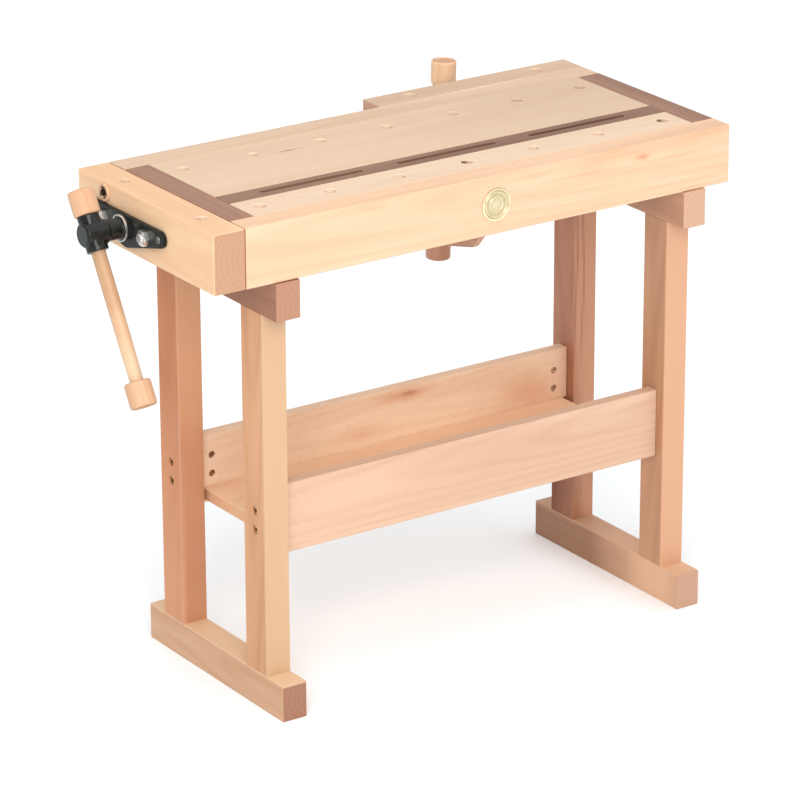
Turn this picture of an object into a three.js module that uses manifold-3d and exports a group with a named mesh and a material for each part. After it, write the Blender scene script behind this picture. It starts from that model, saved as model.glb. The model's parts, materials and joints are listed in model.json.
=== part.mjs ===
// Joiner's workbench: two trestles, a framed top with walnut bands, an end vise and a front vise.
// Millimetres, +Z up, +X along the bench, +Y towards the side that carries the front vise.
import * as THREE from 'three';
import { mergeVertices } from 'three/addons/utils/BufferGeometryUtils.js';
import Module from 'manifold-3d';

const wasm = await Module();
wasm.setup();

// Fits
const GLUE_GAP = 0.3;
const RUN_GAP = 0.4;
const HOLE_GAP = 0.5;
const JAW_SEAM = 0.8;

// Bench top
const TOP_HEIGHT = 850;
const SLAB_LENGTH = 948;
const SLAB_DEPTH = 413;
const APRON_HEIGHT = 100;
const APRON_WIDTH = 45;
const RAIL_WIDTH = 49;
const END_BAND_WIDTH = 44;
const CORE_THICKNESS = 40;
const NEAR_BOARD_WIDTH = 74;
const TOOL_BAND_WIDTH = 42;
const TOOL_SLOT_LENGTH = 194;
const TOOL_SLOT_WIDTH = 10;
const TOOL_SLOT_PITCH = 262;
const TOOL_SLOT_COUNT = 3;
const DOG_HOLE_DIAMETER = 20;
const DOG_HOLE_PITCH = 132;
const DOG_HOLE_COUNT = 7;
const FAR_ROW_FROM_RAIL = 51;

// Badge on the near apron
const BADGE_DIAMETER = 56;
const BADGE_THICKNESS = 3;
const BADGE_RIM_WIDTH = 4;
const BADGE_RECESS = 1;

// Trestles
const TRESTLE_THICKNESS = 45;
const TRESTLE_INSET = 51;
const TRESTLE_SETBACK = 7.5;
const FOOT_LENGTH = 414;
const FOOT_HEIGHT = 63;
const LEG_DEPTH = 62;
const LEG_SPACING = 257;
const BEARER_LENGTH = 406;
const BEARER_HEIGHT = 64;
const TENON_THICKNESS = 15;
const TENON_WIDTH = 40;
const TENON_LENGTH = 36;
const TENON_END_GAP = 1;

// Middle bearer with swept ends
const MIDDLE_BEARER_THICKNESS = 12;
const MIDDLE_BEARER_SETBACK = 24.5;
const SWEEP_LENGTH = 106;
const SWEEP_RISE = 26;
const SWEEP_NOSE = 33;

// Stretchers, shelf and their knock-down bolts
const STRETCHER_HEIGHT = 120;
const STRETCHER_THICKNESS = 22;
const STRETCHER_BOTTOM = 262;
const SHELF_THICKNESS = 20;
const SHELF_DROP = 92;
const SHELF_GROOVE = 8;
const SHELF_END_GAP = 9;
const BOLT_DIAMETER = 8;
const BOLT_HEAD_DIAMETER = 13;
const BOLT_HEAD_LENGTH = 6;
const BOLT_SOCKET = 3;
const BOLT_SINK = 9;
const BOLT_LOW = 49;
const BOLT_SPACING = 33;
const BARREL_NUT_DIAMETER = 11;
const BARREL_NUT_LENGTH = 15;
const BARREL_NUT_REACH = 28;
const BOLT_TAIL = 4;

// Vise jaws
const END_JAW_THICKNESS = 58;
const FRONT_JAW_THICKNESS = 53;
const FRONT_JAW_LENGTH = 420;
const JAW_DOG_DEPTH = 40;
const VISE_AXIS_DROP = 55;
const END_AXIS_FROM_APRON = 255;

// Vise hardware, shared by both vises
const PLATE_THICKNESS = 8;
const PLATE_HALF_LENGTH = 118;
const PLATE_TOP = 21;
const LOBE_RADIUS = 14;
const HUB_RADIUS = 34;
const HUB_BOSS_RADIUS = 20;
const HUB_BOSS_LENGTH = 5;
const SCREW_DIAMETER = 24;
const SCREW_LENGTH = 290;
const SCREW_CHAMFER = 2;
const COLLAR_DIAMETER = 44;
const COLLAR_LENGTH = 5;
const BARREL_DIAMETER = 35;
const HEAD_DIAMETER = 42;
const HEAD_LENGTH = 40;
const CROSS_BOSS_DIAMETER = 36;
const CROSS_BOSS_HALF = 30;
const HANDLE_REACH = 66;
const ROD_DIAMETER = 16;
const ROD_LENGTH = 280;
const ROD_SPACING = 128;
const ROD_END = 4;
const NUT_ACROSS = 24;
const NUT_THICKNESS = 9;
const BACK_PLATE_LENGTH = 190;
const BACK_PLATE_HEIGHT = 44;
const BACK_PLATE_THICKNESS = 8;
const THREAD_BOSS_DIAMETER = 40;
const THREAD_BOSS_LENGTH = 26;

// Wooden handles
const BAR_DIAMETER = 24;
const BAR_FREE_LENGTH = 275;
const KNOB_DIAMETER = 44;
const KNOB_LENGTH = 42;
const KNOB_BORE_DEPTH = 28;
const KNOB_EDGE = 5;
const END_HANDLE_TILT = 30.5;
const FRONT_HANDLE_TILT = 2;

// Turned ring that holds a spare dog on the end jaw
const RING_DIAMETER = 30;
const RING_BORE = 16;
const RING_PROUD = 4;
const RING_DEPTH = 16;
const RING_ACROSS = 72;
const RING_CLEAR = 1;

// How far a cutter runs past the work, and how deep joined bosses sink into it
const OVERCUT = 5;
const SINK_IN = 1;

// Facets of round work
const FINE = 16;
const COARSE = 10;

// Levels and lines worked out from the sizes above
const slabBottom = TOP_HEIGHT - APRON_HEIGHT;
const coreBottom = TOP_HEIGHT - CORE_THICKNESS;
const viseAxisHeight = TOP_HEIGHT - VISE_AXIS_DROP;
const railFront = SLAB_DEPTH - RAIL_WIDTH;
const toolBandFront = APRON_WIDTH + NEAR_BOARD_WIDTH;
const toolBandBack = toolBandFront + TOOL_BAND_WIDTH;
const nearRow = APRON_WIDTH + NEAR_BOARD_WIDTH / 2;
const farRow = railFront - FAR_ROW_FROM_RAIL;
const slabMiddle = SLAB_LENGTH / 2;
const trestleMiddle = SLAB_DEPTH / 2 - TRESTLE_SETBACK;
const bearerBottom = slabBottom - BEARER_HEIGHT;
const legLines = [trestleMiddle - LEG_SPACING / 2, trestleMiddle + LEG_SPACING / 2];
const leftTrestle = TRESTLE_INSET;
const rightTrestle = SLAB_LENGTH - TRESTLE_INSET - TRESTLE_THICKNESS;
const shelfTop = STRETCHER_BOTTOM + STRETCHER_HEIGHT - SHELF_DROP;
const shelfBottom = shelfTop - SHELF_THICKNESS;
const boltLevels = [STRETCHER_BOTTOM + BOLT_LOW, STRETCHER_BOTTOM + BOLT_LOW + BOLT_SPACING];
const frontAxis = SLAB_LENGTH - FRONT_JAW_LENGTH / 2;
const ringHeight = PLATE_TOP + RING_CLEAR + RING_DIAMETER / 2;
const dogLines = Array.from(
  { length: DOG_HOLE_COUNT },
  (_, i) => slabMiddle + (i - (DOG_HOLE_COUNT - 1) / 2) * DOG_HOLE_PITCH,
);
const toolSlotLines = Array.from(
  { length: TOOL_SLOT_COUNT },
  (_, i) => slabMiddle + (i - (TOOL_SLOT_COUNT - 1) / 2) * TOOL_SLOT_PITCH,
);

// Finishes
const BEECH = { color: 0xe8c39a, roughness: 0.55, metalness: 0 };
const PALE_BEECH = { color: 0xefd3b2, roughness: 0.5, metalness: 0 };
const WALNUT = { color: 0x8a6350, roughness: 0.5, metalness: 0 };
const BLACK_IRON = { color: 0x1d201f, roughness: 0.35, metalness: 0.6 };
const ZINC = { color: 0xc9c6bf, roughness: 0.3, metalness: 0.9 };
const BRASS = { color: 0xd9c47a, roughness: 0.35, metalness: 0.9 };

// Solids from three.js geometry, and back
function toSolid(geometry) {
  const bare = geometry.index ? geometry.toNonIndexed() : geometry.clone();
  bare.deleteAttribute('normal');
  bare.deleteAttribute('uv');
  const merged = mergeVertices(bare, 1e-4);
  return new wasm.Manifold(new wasm.Mesh({
    numProp: 3,
    vertProperties: new Float32Array(merged.attributes.position.array),
    triVerts: new Uint32Array(merged.index.array),
  }));
}

function toGeometry(solid) {
  const mesh = solid.getMesh();
  const geometry = new THREE.BufferGeometry();
  geometry.setAttribute('position', new THREE.BufferAttribute(mesh.vertProperties, 3));
  geometry.setIndex(new THREE.BufferAttribute(mesh.triVerts, 1));
  geometry.computeVertexNormals();
  return geometry;
}

// A box between two corners
function block(low, high) {
  const size = high.map((value, i) => value - low[i]);
  const middle = high.map((value, i) => (value + low[i]) / 2);
  const geometry = new THREE.BoxGeometry(...size);
  geometry.translate(...middle);
  return toSolid(geometry);
}

// A round bar along x, y or z from start to end, centred on the other two coordinates
function bar(axis, diameter, start, end, centre, facets = FINE) {
  const geometry = new THREE.CylinderGeometry(diameter / 2, diameter / 2, end - start, facets);
  geometry.translate(0, (start + end) / 2, 0);
  if (axis === 'x') geometry.rotateZ(-Math.PI / 2);
  if (axis === 'z') geometry.rotateX(Math.PI / 2);
  const [a, b] = centre;
  if (axis === 'x') geometry.translate(0, a, b);
  if (axis === 'y') geometry.translate(a, 0, b);
  if (axis === 'z') geometry.translate(a, b, 0);
  return toSolid(geometry);
}

// An outline drawn in x and z, pushed along y from start to end
function slice(shape, start, end, facets = FINE) {
  const geometry = new THREE.ExtrudeGeometry(shape, {
    depth: end - start,
    bevelEnabled: false,
    curveSegments: facets / 2,
  });
  geometry.rotateX(Math.PI / 2);
  geometry.translate(0, end, 0);
  return toSolid(geometry);
}

// A turned piece about y from its [radius, distance] points
function turned(points, facets = FINE) {
  const outline = points.map(([radius, distance]) => new THREE.Vector2(radius, distance));
  return toSolid(new THREE.LatheGeometry(outline, facets));
}

function cut(solid, ...tools) {
  return tools.reduce((body, tool) => body.subtract(tool), solid);
}

function join(solid, ...others) {
  return others.reduce((body, other) => body.add(other), solid);
}

function piece(group, name, solid, finish) {
  const mesh = new THREE.Mesh(toGeometry(solid), new THREE.MeshStandardMaterial(finish));
  mesh.name = name;
  group.add(mesh);
}

// Bench top: near apron, far rail, two walnut end bands and the core boards between them
function dogHoles(rowLine, bottom, top, diameter = DOG_HOLE_DIAMETER) {
  return dogLines.map((x) => bar('z', diameter, bottom, top, [x, rowLine]));
}

function viseHoles(axis, across, start, end) {
  const offsets = [-ROD_SPACING / 2, 0, ROD_SPACING / 2];
  const diameters = [ROD_DIAMETER, SCREW_DIAMETER, ROD_DIAMETER];
  return offsets.map((offset, i) => bar(
    axis,
    diameters[i] + 2 * RUN_GAP,
    start,
    end,
    [across + offset, viseAxisHeight],
  ));
}

function buildTop(group) {
  const badgeSeat = bar(
    'y',
    BADGE_DIAMETER + 2 * GLUE_GAP,
    -OVERCUT,
    BADGE_RECESS,
    [slabMiddle, TOP_HEIGHT - APRON_HEIGHT / 2],
    FINE,
  );
  const apron = block([0, 0, slabBottom], [SLAB_LENGTH, APRON_WIDTH, TOP_HEIGHT]);
  piece(group, 'near_apron', cut(apron, badgeSeat), BEECH);

  const rail = block([0, railFront, slabBottom], [SLAB_LENGTH, SLAB_DEPTH, TOP_HEIGHT]);
  const railHoles = viseHoles('y', frontAxis, railFront - OVERCUT, SLAB_DEPTH + OVERCUT);
  piece(group, 'far_rail', cut(rail, ...railHoles), BEECH);

  const bandLow = [APRON_WIDTH + GLUE_GAP, slabBottom];
  const bandHigh = [railFront - GLUE_GAP, TOP_HEIGHT];
  const leftBand = block([0, ...bandLow], [END_BAND_WIDTH, ...bandHigh]);
  const bandHoles = viseHoles('x', END_AXIS_FROM_APRON, -OVERCUT, END_BAND_WIDTH + OVERCUT);
  piece(group, 'left_end_band', cut(leftBand, ...bandHoles), WALNUT);
  const rightBand = block([SLAB_LENGTH - END_BAND_WIDTH, ...bandLow], [SLAB_LENGTH, ...bandHigh]);
  piece(group, 'right_end_band', rightBand, WALNUT);

  const coreLeft = END_BAND_WIDTH + GLUE_GAP;
  const coreRight = SLAB_LENGTH - END_BAND_WIDTH - GLUE_GAP;
  const nearBoard = block(
    [coreLeft, APRON_WIDTH + GLUE_GAP, coreBottom],
    [coreRight, toolBandFront - GLUE_GAP, TOP_HEIGHT],
  );
  const nearHoles = dogHoles(nearRow, coreBottom - OVERCUT, TOP_HEIGHT + OVERCUT);
  piece(group, 'near_board', cut(nearBoard, ...nearHoles), PALE_BEECH);
  const farBoard = block(
    [coreLeft, toolBandBack + GLUE_GAP, coreBottom],
    [coreRight, railFront - GLUE_GAP, TOP_HEIGHT],
  );
  const farHoles = dogHoles(farRow, coreBottom - OVERCUT, TOP_HEIGHT + OVERCUT);
  piece(group, 'far_board', cut(farBoard, ...farHoles), PALE_BEECH);

  const toolBand = block([coreLeft, toolBandFront, coreBottom], [coreRight, toolBandBack, TOP_HEIGHT]);
  const slotMiddle = (toolBandFront + toolBandBack) / 2;
  const slots = toolSlotLines.map((x) => block(
    [x - TOOL_SLOT_LENGTH / 2, slotMiddle - TOOL_SLOT_WIDTH / 2, coreBottom - OVERCUT],
    [x + TOOL_SLOT_LENGTH / 2, slotMiddle + TOOL_SLOT_WIDTH / 2, TOP_HEIGHT + OVERCUT],
  ));
  piece(group, 'tool_slot_band', cut(toolBand, ...slots), WALNUT);

  const rimInner = BADGE_DIAMETER / 2 - BADGE_RIM_WIDTH;
  const badgeFace = BADGE_THICKNESS - BADGE_RECESS;
  const badge = turned([
    [0, GLUE_GAP],
    [BADGE_DIAMETER / 2, GLUE_GAP],
    [BADGE_DIAMETER / 2, BADGE_THICKNESS],
    [rimInner, BADGE_THICKNESS],
    [rimInner, badgeFace],
    [0, badgeFace],
  ]).rotate([180, 0, 0]).translate([slabMiddle, BADGE_RECESS, TOP_HEIGHT - APRON_HEIGHT / 2]);
  piece(group, 'apron_badge', badge, BRASS);
}

// Trestles: foot, two tenoned legs and a bearer, all of one thickness
function tenon(x, y, bottom, top, gap = 0) {
  const halfThickness = TENON_THICKNESS / 2 + gap;
  const halfWidth = TENON_WIDTH / 2 + gap;
  return block([x - halfThickness, y - halfWidth, bottom], [x + halfThickness, y + halfWidth, top]);
}

function boltHoles(outerFace, innerFace, legLine) {
  const outward = Math.sign(outerFace - innerFace);
  const past = outerFace + outward * BOLT_SINK;
  const seat = outerFace - outward * BOLT_SINK;
  const through = innerFace - outward * BOLT_SINK;
  return boltLevels.flatMap((z) => [
    bar('x', BOLT_HEAD_DIAMETER + 2 * HOLE_GAP, Math.min(past, seat), Math.max(past, seat),
      [legLine, z], COARSE),
    bar('x', BOLT_DIAMETER + 2 * HOLE_GAP, Math.min(past, through), Math.max(past, through),
      [legLine, z], COARSE),
  ]);
}

function buildTrestle(group, side, left, outerFace, innerFace) {
  const right = left + TRESTLE_THICKNESS;
  const middle = (left + right) / 2;
  const mortiseDepth = TENON_LENGTH + TENON_END_GAP;
  const footMortises = legLines.map((y) => tenon(
    middle, y, FOOT_HEIGHT - mortiseDepth, FOOT_HEIGHT + mortiseDepth, GLUE_GAP,
  ));
  const foot = block(
    [left, trestleMiddle - FOOT_LENGTH / 2, 0],
    [right, trestleMiddle + FOOT_LENGTH / 2, FOOT_HEIGHT],
  );
  piece(group, `${side}_foot`, cut(foot, ...footMortises), BEECH);

  const bearerMortises = legLines.map((y) => tenon(
    middle, y, bearerBottom - mortiseDepth, bearerBottom + mortiseDepth, GLUE_GAP,
  ));
  const bearer = block(
    [left, trestleMiddle - BEARER_LENGTH / 2, bearerBottom],
    [right, trestleMiddle + BEARER_LENGTH / 2, slabBottom - GLUE_GAP],
  );
  piece(group, `${side}_bearer`, cut(bearer, ...bearerMortises), BEECH);

  legLines.forEach((y, i) => {
    const post = block(
      [left, y - LEG_DEPTH / 2, FOOT_HEIGHT + GLUE_GAP],
      [right, y + LEG_DEPTH / 2, bearerBottom - GLUE_GAP],
    );
    const tenons = tenon(middle, y, FOOT_HEIGHT - TENON_LENGTH, bearerBottom + TENON_LENGTH);
    const leg = cut(join(post, tenons), ...boltHoles(outerFace, innerFace, y));
    piece(group, `${side}_${i === 0 ? 'near' : 'far'}_leg`, leg, BEECH);
  });
}

// Middle bearer, swept up towards both ends
function buildMiddleBearer(group) {
  const near = MIDDLE_BEARER_SETBACK;
  const far = SLAB_DEPTH - MIDDLE_BEARER_SETBACK;
  const top = slabBottom - GLUE_GAP;
  const shape = new THREE.Shape();
  shape.moveTo(near, top);
  shape.lineTo(near + SWEEP_NOSE, bearerBottom + SWEEP_RISE);
  shape.lineTo(near + SWEEP_NOSE + SWEEP_LENGTH, bearerBottom);
  shape.lineTo(far - SWEEP_NOSE - SWEEP_LENGTH, bearerBottom);
  shape.lineTo(far - SWEEP_NOSE, bearerBottom + SWEEP_RISE);
  shape.lineTo(far, top);
  const half = MIDDLE_BEARER_THICKNESS / 2;
  const bearer = slice(shape, -half, half).rotate([0, 0, 90]).translate([slabMiddle, 0, 0]);
  piece(group, 'middle_bearer', bearer, BEECH);
}

// Stretchers, shelf, and the bolts with barrel nuts that pull each stretcher to its legs
function boltBody(outerFace, inward, reach) {
  const headStart = BOLT_SINK - BOLT_HEAD_LENGTH;
  const headRadius = BOLT_HEAD_DIAMETER / 2;
  const socketRadius = BOLT_DIAMETER / 2;
  const socketFloor = headStart + BOLT_SOCKET;
  const body = turned([
    [0, socketFloor],
    [socketRadius, socketFloor],
    [socketRadius, headStart],
    [headRadius, headStart],
    [headRadius, BOLT_SINK - GLUE_GAP],
    [BOLT_DIAMETER / 2, BOLT_SINK - GLUE_GAP],
    [BOLT_DIAMETER / 2, reach],
    [0, reach],
  ], COARSE);
  return body.rotate([0, 0, inward > 0 ? -90 : 90]).translate([outerFace, 0, 0]);
}

function buildStretchers(group) {
  const start = leftTrestle + TRESTLE_THICKNESS + GLUE_GAP;
  const end = rightTrestle - GLUE_GAP;
  const half = STRETCHER_THICKNESS / 2;
  const nutLines = [
    leftTrestle + TRESTLE_THICKNESS + BARREL_NUT_REACH,
    rightTrestle - BARREL_NUT_REACH,
  ];
  const faces = [leftTrestle, SLAB_LENGTH - TRESTLE_INSET];
  const reach = TRESTLE_THICKNESS + BARREL_NUT_REACH + BARREL_NUT_DIAMETER / 2 + BOLT_TAIL;
  const names = ['near', 'far'];
  legLines.forEach((y, row) => {
    const inner = row === 0 ? 1 : -1;
    const innerFace = y + inner * half;
    const nutStart = innerFace - inner * (half + BARREL_NUT_LENGTH / 2 + GLUE_GAP);
    const nutEdges = [nutStart, innerFace + inner * HOLE_GAP].sort((a, b) => a - b);
    const groove = [innerFace - inner * (SHELF_GROOVE + GLUE_GAP), innerFace + inner * SHELF_GROOVE];
    groove.sort((a, b) => a - b);
    const cuts = [block(
      [start - HOLE_GAP, groove[0], shelfBottom - GLUE_GAP],
      [end + HOLE_GAP, groove[1], shelfTop + GLUE_GAP],
    )];
    boltLevels.forEach((z, level) => {
      nutLines.forEach((x, side) => {
        const inward = side === 0 ? 1 : -1;
        const tip = faces[side] + inward * (reach + HOLE_GAP);
        const mouth = side === 0 ? start - HOLE_GAP : end + HOLE_GAP;
        const drill = [tip, mouth].sort((a, b) => a - b);
        cuts.push(bar('x', BOLT_DIAMETER + 2 * HOLE_GAP, drill[0], drill[1], [y, z], COARSE));
        cuts.push(bar('y', BARREL_NUT_DIAMETER + 2 * HOLE_GAP, nutEdges[0], nutEdges[1], [x, z], COARSE));
        const label = `${names[row]}_${side === 0 ? 'left' : 'right'}_${level === 0 ? 'low' : 'high'}`;
        const nutBody = bar('y', BARREL_NUT_DIAMETER, y - BARREL_NUT_LENGTH / 2, y + BARREL_NUT_LENGTH / 2,
          [x, z], COARSE);
        const thread = bar('x', BOLT_DIAMETER + 2 * GLUE_GAP, x - BARREL_NUT_DIAMETER,
          x + BARREL_NUT_DIAMETER, [y, z], COARSE);
        piece(group, `barrel_nut_${label}`, cut(nutBody, thread), ZINC);
        const bolt = boltBody(faces[side], inward, reach).translate([0, y, z]);
        piece(group, `stretcher_bolt_${label}`, bolt, ZINC);
      });
    });
    const board = block(
      [start, y - half, STRETCHER_BOTTOM],
      [end, y + half, STRETCHER_BOTTOM + STRETCHER_HEIGHT],
    );
    piece(group, `${names[row]}_stretcher`, cut(board, ...cuts), BEECH);
  });

  const shelf = block(
    [start + SHELF_END_GAP, legLines[0] + half - SHELF_GROOVE, shelfBottom],
    [end - SHELF_END_GAP, legLines[1] - half + SHELF_GROOVE, shelfTop],
  );
  piece(group, 'shelf', shelf, BEECH);
}

// Vise hardware in its own frame: x across the jaw, y out of its outer face, z up from the screw axis
function plateOutline() {
  const lobeX = PLATE_HALF_LENGTH - LOBE_RADIUS;
  const lobeZ = PLATE_TOP - LOBE_RADIUS;
  const hubAngle = Math.PI / 3;
  const shape = new THREE.Shape();
  shape.moveTo(lobeX, PLATE_TOP);
  shape.absarc(lobeX, lobeZ, LOBE_RADIUS, Math.PI / 2, -Math.PI / 2, true);
  shape.lineTo(HUB_RADIUS * Math.cos(hubAngle), -HUB_RADIUS * Math.sin(hubAngle));
  shape.absarc(0, 0, HUB_RADIUS, -hubAngle, hubAngle - Math.PI, true);
  shape.lineTo(-lobeX, lobeZ - LOBE_RADIUS);
  shape.absarc(-lobeX, lobeZ, LOBE_RADIUS, -Math.PI / 2, Math.PI / 2, true);
  return shape;
}

function buildFrontPlate() {
  const back = GLUE_GAP;
  const face = back + PLATE_THICKNESS;
  const rodHole = ROD_DIAMETER + 2 * GLUE_GAP;
  const boss = bar('y', 2 * HUB_BOSS_RADIUS, face - SINK_IN, face + HUB_BOSS_LENGTH, [0, 0]);
  const past = face + HUB_BOSS_LENGTH + OVERCUT;
  const holes = [-1, 1].map((side) => bar(
    'y', rodHole, back - OVERCUT, past, [side * ROD_SPACING / 2, 0],
  ));
  const bore = bar('y', SCREW_DIAMETER + 2 * RUN_GAP, back - OVERCUT, past, [0, 0]);
  return cut(join(slice(plateOutline(), back, face), boss), ...holes, bore);
}

function buildBackPlate(start) {
  const face = start - BACK_PLATE_THICKNESS;
  const plate = block(
    [-BACK_PLATE_LENGTH / 2, face, -BACK_PLATE_HEIGHT + PLATE_TOP - LOBE_RADIUS],
    [BACK_PLATE_LENGTH / 2, start, PLATE_TOP - LOBE_RADIUS + RUN_GAP + LOBE_RADIUS / 2],
  );
  const tail = face - THREAD_BOSS_LENGTH;
  const clip = block(
    [-THREAD_BOSS_DIAMETER, tail - SINK_IN, -THREAD_BOSS_DIAMETER],
    [THREAD_BOSS_DIAMETER, face + SINK_IN, coreBottom - viseAxisHeight - HOLE_GAP],
  );
  const boss = bar('y', THREAD_BOSS_DIAMETER, tail, face + SINK_IN, [0, 0]).intersect(clip);
  const holes = [-1, 1].map((side) => bar(
    'y', ROD_DIAMETER + 2 * RUN_GAP, tail - OVERCUT, start + OVERCUT, [side * ROD_SPACING / 2, 0],
  ));
  const bore = bar('y', SCREW_DIAMETER + 2 * RUN_GAP, tail - OVERCUT, start + OVERCUT, [0, 0]);
  return cut(join(plate, boss), ...holes, bore);
}

function buildScrew() {
  const root = GLUE_GAP + PLATE_THICKNESS + HUB_BOSS_LENGTH + RUN_GAP;
  const collarEnd = root + COLLAR_LENGTH;
  const headStart = HANDLE_REACH - HEAD_LENGTH / 2;
  const headEnd = HANDLE_REACH + HEAD_LENGTH / 2;
  const chamfer = (HEAD_DIAMETER - BARREL_DIAMETER) / 2;
  const body = turned([
    [0, -SCREW_LENGTH],
    [SCREW_DIAMETER / 2 - SCREW_CHAMFER, -SCREW_LENGTH],
    [SCREW_DIAMETER / 2, -SCREW_LENGTH + SCREW_CHAMFER],
    [SCREW_DIAMETER / 2, root],
    [COLLAR_DIAMETER / 2, root],
    [COLLAR_DIAMETER / 2, collarEnd],
    [BARREL_DIAMETER / 2, collarEnd],
    [BARREL_DIAMETER / 2, headStart - chamfer],
    [HEAD_DIAMETER / 2, headStart],
    [HEAD_DIAMETER / 2, headEnd - chamfer],
    [BARREL_DIAMETER / 2, headEnd],
    [0, headEnd],
  ]);
  const crossBoss = bar('z', CROSS_BOSS_DIAMETER, -CROSS_BOSS_HALF, CROSS_BOSS_HALF, [0, HANDLE_REACH]);
  const handleBore = bar(
    'z', BAR_DIAMETER + 2 * RUN_GAP, -2 * CROSS_BOSS_HALF, 2 * CROSS_BOSS_HALF, [0, HANDLE_REACH],
  );
  return cut(join(body, crossBoss), handleBore);
}

function buildRod() {
  const end = GLUE_GAP + PLATE_THICKNESS + NUT_THICKNESS + ROD_END;
  return bar('y', ROD_DIAMETER, -ROD_LENGTH, end, [0, 0]);
}

function buildRodNut() {
  const seat = 2 * GLUE_GAP + PLATE_THICKNESS;
  const across = NUT_ACROSS / Math.cos(Math.PI / 6);
  const hex = bar('y', across, seat, seat + NUT_THICKNESS, [0, 0], 6);
  return cut(hex, bar('y', ROD_DIAMETER + 2 * GLUE_GAP, 0, 4 * NUT_THICKNESS, [0, 0]));
}

// A knob about z, its bored face at z = 0 and its round end at z = KNOB_LENGTH
function buildKnob() {
  const radius = KNOB_DIAMETER / 2;
  const bore = BAR_DIAMETER / 2 + GLUE_GAP;
  const steps = 3;
  const points = [[0, KNOB_BORE_DEPTH], [bore, KNOB_BORE_DEPTH], [bore, 0]];
  for (let i = 0; i <= steps; i += 1) {
    const angle = (i / steps) * Math.PI / 2;
    points.push([
      radius - KNOB_EDGE + KNOB_EDGE * Math.sin(angle),
      KNOB_EDGE - KNOB_EDGE * Math.cos(angle),
    ]);
  }
  for (let i = 0; i <= steps; i += 1) {
    const angle = (i / steps) * Math.PI / 2;
    points.push([
      radius - KNOB_EDGE + KNOB_EDGE * Math.cos(angle),
      KNOB_LENGTH - KNOB_EDGE + KNOB_EDGE * Math.sin(angle),
    ]);
  }
  points.push([0, KNOB_LENGTH]);
  return turned(points).rotate([90, 0, 0]);
}

function buildHandle(group, prefix) {
  const upper = CROSS_BOSS_HALF + GLUE_GAP;
  const lower = upper - BAR_FREE_LENGTH;
  const sunk = KNOB_BORE_DEPTH - GLUE_GAP;
  const centre = [0, HANDLE_REACH];
  piece(group, `${prefix}_handle_bar`, bar('z', BAR_DIAMETER, lower - sunk, upper + sunk, centre), BEECH);
  const upperKnob = buildKnob().translate([0, HANDLE_REACH, upper]);
  piece(group, `${prefix}_upper_knob`, upperKnob, BEECH);
  const lowerKnob = buildKnob().rotate([180, 0, 0]).translate([0, HANDLE_REACH, lower]);
  piece(group, `${prefix}_lower_knob`, lowerKnob, BEECH);
}

function jawBody(length, thickness, offset, dogOffsets) {
  const low = slabBottom - viseAxisHeight;
  const high = TOP_HEIGHT - viseAxisHeight;
  const jaw = block([offset, -thickness, low], [offset + length, 0, high]);
  const rods = [-1, 1].map((side) => bar(
    'y', ROD_DIAMETER + 2 * GLUE_GAP, -thickness - OVERCUT, OVERCUT, [side * ROD_SPACING / 2, 0],
  ));
  const bore = bar('y', SCREW_DIAMETER + 2 * RUN_GAP, -thickness - OVERCUT, OVERCUT, [0, 0]);
  const dogs = dogOffsets.map((x) => bar(
    'z', DOG_HOLE_DIAMETER, high - JAW_DOG_DEPTH, high + OVERCUT, [x, -thickness / 2],
  ));
  return cut(jaw, ...rods, bore, ...dogs);
}

function buildVise(group, prefix, jaw, jawThickness, wallThickness, tilt) {
  piece(group, `${prefix}_jaw`, jaw, BEECH);
  piece(group, `${prefix}_vise_plate`, buildFrontPlate(), BLACK_IRON);
  const wallInside = -jawThickness - JAW_SEAM - wallThickness - GLUE_GAP;
  piece(group, `${prefix}_vise_back_plate`, buildBackPlate(wallInside), BLACK_IRON);
  ['a', 'b'].forEach((label, i) => {
    const x = (i - 0.5) * ROD_SPACING;
    piece(group, `${prefix}_guide_rod_${label}`, buildRod().translate([x, 0, 0]), ZINC);
    piece(group, `${prefix}_rod_nut_${label}`, buildRodNut().translate([x, 0, 0]), ZINC);
  });
  const turning = new THREE.Group();
  turning.rotation.y = THREE.MathUtils.degToRad(tilt);
  piece(turning, `${prefix}_vise_screw`, buildScrew(), BLACK_IRON);
  buildHandle(turning, prefix);
  group.add(turning);
}

function buildEndVise(group) {
  const vise = new THREE.Group();
  vise.position.set(-JAW_SEAM - END_JAW_THICKNESS, END_AXIS_FROM_APRON, viseAxisHeight);
  vise.rotation.z = Math.PI / 2;
  const dogs = [nearRow - END_AXIS_FROM_APRON, farRow - END_AXIS_FROM_APRON];
  const body = jawBody(SLAB_DEPTH, END_JAW_THICKNESS, -END_AXIS_FROM_APRON, dogs);
  const ringSeat = bar(
    'y', RING_DIAMETER + 2 * GLUE_GAP, -RING_DEPTH, RING_DEPTH, [RING_ACROSS, ringHeight],
  );
  buildVise(vise, 'end', cut(body, ringSeat), END_JAW_THICKNESS, END_BAND_WIDTH, END_HANDLE_TILT);
  const ringBody = bar(
    'y', RING_DIAMETER, GLUE_GAP - RING_DEPTH, RING_PROUD, [RING_ACROSS, ringHeight],
  );
  const ringBore = bar('y', RING_BORE, -2 * RING_DEPTH, 2 * RING_DEPTH, [RING_ACROSS, ringHeight]);
  piece(vise, 'end_jaw_ring', cut(ringBody, ringBore), PALE_BEECH);
  group.add(vise);
}

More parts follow.
